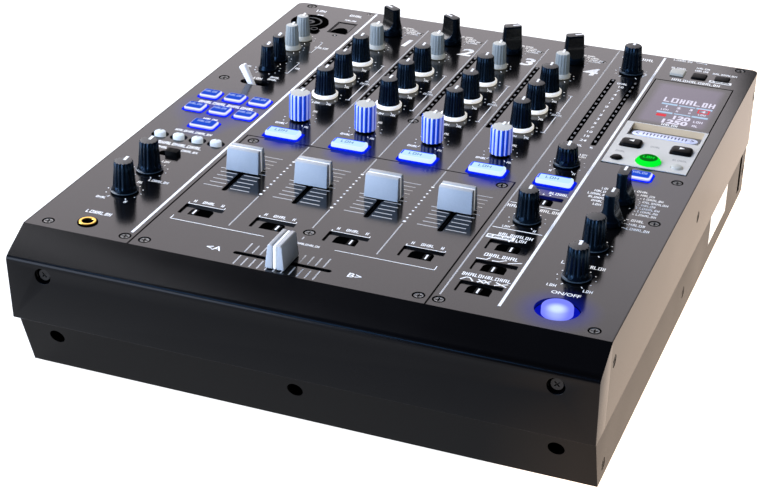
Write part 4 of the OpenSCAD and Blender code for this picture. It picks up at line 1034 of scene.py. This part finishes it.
# Scales of the left, master and right columns: x, y and radius
for x, y, r in (
    (-134.5, 319.5, 8.4), (-134.5, 300.5, 8.4), (-134.5, 278, 8.4), (-134.5, 259.5, 8.4),
    (-133.4, 88, 10.4), (-133.4, 57, 10.4), (88, 351, 10.4), (88.4, 193, 10.4), (88, 112, 10.4),
    (130.5, 94.5, 10.4), (131.2, 57.5, 10.4),
):
    addScale(bm, x, y, r)
addScale(bm, 130.5, 157, 9.8, 140, 28, 0.4, False)
addScale(bm, 131, 126.5, 9.8, 105, 30, 0.4, False)
# Captions of the same columns: x, y, letters and height
for x, y, letters, height in (
    (-144, 376.2, 3, 3.8), (-117.5, 376.4, 4, 3.8), (-141.4, 368.4, 4, 2.2), (-117.9, 366.4, 5, 2.6),
    (-133.2, 193, 16, 3.7), (-133, 126.4, 12, 3.8), (-141.4, 120, 4, 2.8), (-124.4, 120, 7, 2.8),
    (-129.8, 101.7, 3, 2.6), (-121.4, 75.8, 7, 2.8), (-130.6, 70.8, 2, 2.8), (-142, 45, 4, 2.4),
    (-126.6, 44.8, 1, 2.8), (-133.4, 26.6, 7, 3.5), (-148.8, 259.5, 4, 2.4), (-133.6, 242, 3, 3.2),
    (-124, 247.6, 4, 2.6), (-124, 243.6, 4, 2.6), (-133.8, 147, 13, 2.9), (-133, 168.8, 5, 3.0),
    (-116.4, 309, 5, 3.0), (-116.4, 268, 2, 3.0), (-17.3, 36.5, 17, 2.2), (86.5, 377, 8, 4.2),
    (93.8, 209.6, 3, 2.4), (93.8, 206.4, 3, 2.4), (80.6, 151, 4, 3.0), (95.2, 151, 6, 3.0),
    (87, 127, 13, 3.6), (88, 90.6, 9, 3.4), (88, 64.3, 8, 3.7), (88, 39.3, 12, 3.5), (92.4, 86, 3, 3.2),
    (79.4, 100.5, 3, 2.4), (95.6, 100.5, 1, 2.8), (81.4, 181, 1, 2.8), (95.6, 181.2, 1, 2.8),
    (87.6, 328.8, 4, 2.8), (87.8, 222.4, 2, 2.8), (116, 371, 6, 2.8), (130.8, 376.6, 5, 2.8),
    (130.8, 371.8, 5, 2.8), (146.4, 371, 9, 2.8), (131.2, 350.6, 13, 3.8), (121.2, 45, 3, 2.8),
    (140.6, 45, 3, 2.8), (131, 72, 11, 3.4), (131, 274.4, 5, 3.2), (115.2, 385.6, 7, 2.8),
):
    addCaption(bm, x, y, letters, height)

# Lines of the left and master columns, with two captions reversed out of white bars
for y0, y1 in ((299, 319), (258, 278)):
    addBar(bm, -119.5, y0, -119.5, y1, 0.45)
    for y in (y0, y1):
        addBar(bm, -121.5, y, -119.5, y, 0.45)
for y in (131.2, 97.6):
    addBar(bm, 72.5, y, 101, y, 0.7)
for x, y in ((87, 148), (91, 148), (86.4, 83.6), (90.4, 84.2)):
    addDot(bm, x, y, 0.6)
addBar(bm, 72.7, 86.4, 88.6, 86.4, 4.4)
addCaption(bm, 80.6, 86.4, 10, 2.2, 2, 0.05)
addBar(bm, 138.8, 356.6, 153.4, 356.6, 3.8)
addCaption(bm, 146.1, 356.6, 10, 2.0, 2, 0.05)
curveIcons = [
    [(76, 58.4), (81.6, 58.7), (83, 61.6)], [(84.6, 58.4), (88.6, 59), (92, 61.6)],
    [(93.4, 58.4), (100.4, 61.6)],
    [(75.6, 32.6), (78, 35.8), (80, 35.8), (82.4, 32.6)], [(84.6, 32.6), (88, 35.8), (91.4, 32.6)],
    [(84.6, 35.8), (88, 32.6), (91.4, 35.8)], [(94, 32.6), (100.6, 36)], [(94, 36), (100.6, 32.6)],
]
for points in curveIcons:
    for a, b in zip(points, points[1:]):
        addBar(bm, *a, *b, 0.8)
for i, value in enumerate("10 7 4 2 1 0 1 2 3 5 7 10 15 24".split()):
    addText(bm, value, 4.2, 87.8, 323 - 7.1 * i)
addText(bm, "L", 3.2, 80.3, 222)
addText(bm, "R", 3.2, 95.2, 222)
for i in range(5):
    ends = []
    for a in (math.radians(-60 + 24 * i), math.radians(-36 + 24 * i)):
        ends += [94.6 + 3.4 * math.cos(a), 350.4 + 3.4 * math.sin(a)]
    addBar(bm, *ends, 1.1)

# Right column: the names round the two effect selectors, the marks by the plate and its dark gap
names = ((135.5, 4), (138.5, 5), (141.2, 7), (141.6, 9), (141.8, 5)) + ((141.8, 7),) * 3
for i, (left, letters) in enumerate(names):
    y = 173.2 - 4.25 * i
    addCaption(bm, left + letters * 0.81, y, letters, 2.6)
    addDot(bm, left - 1.6, y - 0.4, 0.5)
for i, (left, letters) in enumerate(((115.5, 3), (112.4, 5), (109.6, 7), (111.2, 6), (114, 4), (116, 3))):
    addCaption(bm, left + letters * 0.81, 169.4 - 4.4 * i, letters, 2.6)
for i, letters in enumerate((4, 5, 7)):
    addCaption(bm, 141.2 + letters * 0.9, 135.2 - 5.4 * i, letters, 2.9)
    addBar(bm, 138.4, 135.2 - 5.4 * i, 140, 135.2 - 5.4 * i, 0.6)
addText(bm, "ON/OFF", 4.4, 130.9, 38, stretch=0.98)
addDot(bm, -117.5, 335.3, 1.7, 0, 2)
addDot(bm, -117.4, 335.3, 0.8, 0.04, 1)
addBar(bm, 124, 386, 131, 386, 0.6)
addBar(bm, 131, 384.6, 131, 386.2, 0.6)
for corners in (rect(105.2, 270.7, 156.8, 347.2), rect(105.2, 204.8, 157, 271)):
    addTo(bm, ringPlate(corners, 0.75, -0.02, 0.05, 2))
finishPiece("panelPrint", bm, [whiteInk, greyInk, blackAndShade], "root", turnOut=False)
print("printing ready")

# Meter segments behind their windows
meter = {"y": (227.4, 333.2), "width": 3.5, "count": 15, "pitch": 7.2, "first": 230.6, "length": 2.8}
bm = bmesh.new()
for x in [c - 19 for c in channelX] + [80.3, 95.2]:
    for i in range(meter["count"]):
        y = meter["first"] + meter["pitch"] * i
        addBar(bm, x, y, x, y + meter["length"], 1.3, 0.03, 1)
    addBar(bm, x, meter["y"][0], x, meter["y"][1], meter["width"])
    for y in meter["y"]:
        addDot(bm, x, y, meter["width"] / 2, segments=20)
finishPiece("meterSegments", bm, [segmentDark, segmentGrey], "root", turnOut=False)

# Display: a tinted screen whose lit field fades out short of its frame, and plain figures on it
display = {
    "corners": (106, 271.4, 156, 346.4), "glow": 0.3, "z": -0.02,
    "fades": ((0, 107.5, 6), (0, 154.5, -6), (1, 272.5, 7), (1, 345, -7)),  # axis, start and reach
}
tree = screenGlow.node_tree
part = addNode(tree, "SeparateXYZ", {0: addNode(tree, "TexCoord").outputs["Object"]})
lit = display["glow"]
for axis, edge, reach in display["fades"]:
    limit = (toFrame @ Vector((edge, edge, 0)))[axis]
    side = addNode(
        tree, "MapRange", {"Value": part.outputs[axis], "From Min": limit, "From Max": limit + reach * 0.001},
        interpolation_type="SMOOTHSTEP",
    )
    lit = addNode(tree, "Math", {0: side.outputs[0], 1: lit}, operation="MULTIPLY").outputs[0]
tree.links.new(lit, tree.nodes["Principled BSDF"].inputs["Emission Strength"])
bm = bmesh.new()
z = display["z"]
addTo(bm, raised(rect(*display["corners"]), -0.11, -0.04))
for y in (308, 293.8):
    for x0, x1, width in ((118.6, 128.6, 2.4), (129.6, 140, 1.4), (140.8, 151, 2.4)):
        addBar(bm, x0, y, x1, y, width, z, 2)
for i, letters in enumerate((3, 1, 1, 3)):
    addText(bm, str(i + 1), 4.4, 122.6 + 7.9 * i, 303.6, z, 1, bold=0.2)
    addCaption(bm, 122.6 + 7.9 * i, 298.4, letters, 2.6, 1, z)
for x, y, letters, height in ((134.8, 315.2, 7, 7.4), (146.4, 286, 3, 3.2), (145.8, 279.2, 2, 3.0)):
    addCaption(bm, x, y, letters, height, 1, z)
addText(bm, "120", 8, 135.2, 287.6, z, 1, bold=0.3)
addText(bm, "1250", 8.6, 132.3, 280, z, 1, bold=0.35)
addTo(bm, ringPlate(rect(142.6, 300.6, 150, 307), 0.9, z - 0.03, z + 0.03, 3))
addBar(bm, 119.4, 289, 125.6, 289, 3.8, z, 3)
figures = [screenGlow, screenWhite, screenBlue, screenRed]
finishPiece("displayScreen", bm, figures, "root", turnOut=False)

# Effects plate: the touch strip in its sloped recess, the ramp behind it and small captions
strip = {
    "spot": (132, 258.2, -1.68), "fall": 1.8, "run": 16,
    "slot": (42.6, 14.6), "pad": (40.5, 9.6), "mark": 0.62,
}
part = bmesh.new()
addTo(part, raised(roundRect(*strip["slot"], 0.8, 2), 0.0, 0.12))
pad = raised(roundRect(*strip["pad"], 4.4, 6), 0.1, 0.6, 1)
beveledTop(pad, 0.3)
addTo(part, pad)
for i in range(13):
    addBar(part, -13.2 + 2.2 * i, -2.2, -13.2 + 2.2 * i, 2.2, 0.8, strip["mark"], 2)
for side in (-1, 1):
    for lift in (-2, 2):
        addBar(part, side * 18, 0, side * 16, lift, 0.7, strip["mark"], 2)
turnPart(part, -math.degrees(math.atan2(strip["fall"], strip["run"])), "X")
bm = bmesh.new()
addTo(bm, part, *strip["spot"])
# The ramp behind the strip: the tan aluminium with its painted warm light
ramp = bmesh.new()
foot = [(110.3, 266.2, -2.5), (154.2, 266.2, -2.5), (154.2, 269.5, 0.4), (110.3, 269.5, 0.4)]
thicken(ramp, [addFace(ramp, foot)], (0, -0.08, 0.1))
paint(ramp.faces, 3)
addTo(bm, ramp)
for x, y, letters in ((131, 237, 4), (112.8, 223.4, 4), (149, 223.4, 6)):
    addCaption(bm, x, y, letters, 2.4, 4, 0.5)
surfaces = [slotGrey, stripPad, stripMark, tanGlowAluminium, plateInk]
finishPiece("touchStrip", bm, surfaces, "root")
print("display and plate ready")

# Sockets: black bodies; the phono shells, earth posts and pins behind are nickel: x, z and radius
phono = {
    "x": (-46, -14, 22, 58, 94), "z": (-20, -36, -56, -72), "digital": (-138, -20),
    "bore": 1.65, "shell": 4.3,
}
phonoSpots = [(x, z) for x in phono["x"] for z in phono["z"]] + [phono["digital"]]
metalSpots = [(x, z, phono["shell"]) for x, z in phonoSpots] + [(4, -46, 4.2), (76, -46, 4.2)]
for x in (-104, -74):
    for a in (math.radians(d) for d in (30, 150, 270)):
        metalSpots.append((x + 4.2 * math.cos(a), -58 - 4.2 * math.sin(a), 1.4))
metalSpots += [(-143, -60, 2.4), (-129, -60, 2.4), (-136, -55, 2.4)]
bm = copyNode("sockets")
for f in bm.faces:
    mid = f.calc_center_median()
    metal = mid.y > 355 and any(math.hypot(mid.x - x, mid.z - z) < r for x, z, r in metalSpots)
    f.material_index = int(metal)
metals = [blackNylon, nickelSteel]
finishPiece("socketBodies", bm, metals, "root", ["sockets"], turnOut=False)

# Coloured insulators in the phono sockets: white and red by turns, orange in the digital one
bm = bmesh.new()
phonoFace = 1000 * (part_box("sockets")[1].y - panelLo.y) - 0.05
r0, r1 = phono["bore"] + 0.2, 3.2
for i, (x, z) in enumerate(phonoSpots):
    finish = 2 if (x, z) == phono["digital"] else i % 2
    part = turned([(r0, 0.0), (r1, 0.0), (r1, 0.06), (r0, 0.06), (r0, 0.0)], 24, finish)
    turnPart(part, -90, "X")
    addTo(bm, part, x, phonoFace, z)
finishPiece("phonoInsulators", bm, [whiteInk, redNylon, orangeNylon], "root")

# Sockets on the top: gilt ring of the headphone jack, rings of the microphone socket, its latch, the usb
# flap, and a black sheet painted as shade in the usb well
phones, microphone, latch, usb = (-133.5, 14), (-143, 352), (-133.8, 337.8), (-117.3, 339.6)
bm = bmesh.new()
gilt = [(3.1, 0.3), (3.1, 0.7), (3.5, 1.0), (4.6, 1.0), (5.0, 0.7), (5.0, 0.3), (3.1, 0.3)]
addTo(bm, turned(gilt, 48, 0), *phones)
addTo(bm, turned([(4.9, 0.02), (4.9, 0.5), (5.7, 0.5), (5.8, 0.02), (4.9, 0.02)], 48, 1), *phones)
for r0, r1, top, finish in (
    (10.6, 13.3, 1.0, 1), (8.9, 10.6, 0.8, 1), (7.6, 8.9, 0.7, 2), (3.6, 7.6, 0.5, 1), (1.8, 3.6, 0.6, 2),
):
    ring = [(r0, 0), (r0, top - 0.2), (r0 + 0.2, top), (r1 - 0.2, top), (r1, top - 0.2), (r1, 0), (r0, 0)]
    addTo(bm, turned(ring, 56, finish), *microphone)
addTo(bm, turned([(3.4, 0.0), (3.4, 0.9), (2.8, 1.4), (0, 1.6)], 32, 1), *latch)
addTo(bm, ringPlate(oval(2.6, 2.6), 0.6, 1.3, 1.68, 2), *latch)
# Painted shade: a black oval sheet in the front of the usb well
addTo(bm, raised(oval(6.2, 12, 13), -0.9, -0.32, 1), *usb)
addTo(bm, raised(rect(-6.3, -0.1, 6.3, 20.4), -1.2, -0.4, 3), *usb)
bmesh.ops.remove_doubles(bm, verts=bm.verts, dist=1e-4)
finishPiece("topSocketTrim", bm, [giltBrass, blackAndShade, socketGrey, flapAbs], "root")
print("sockets ready")
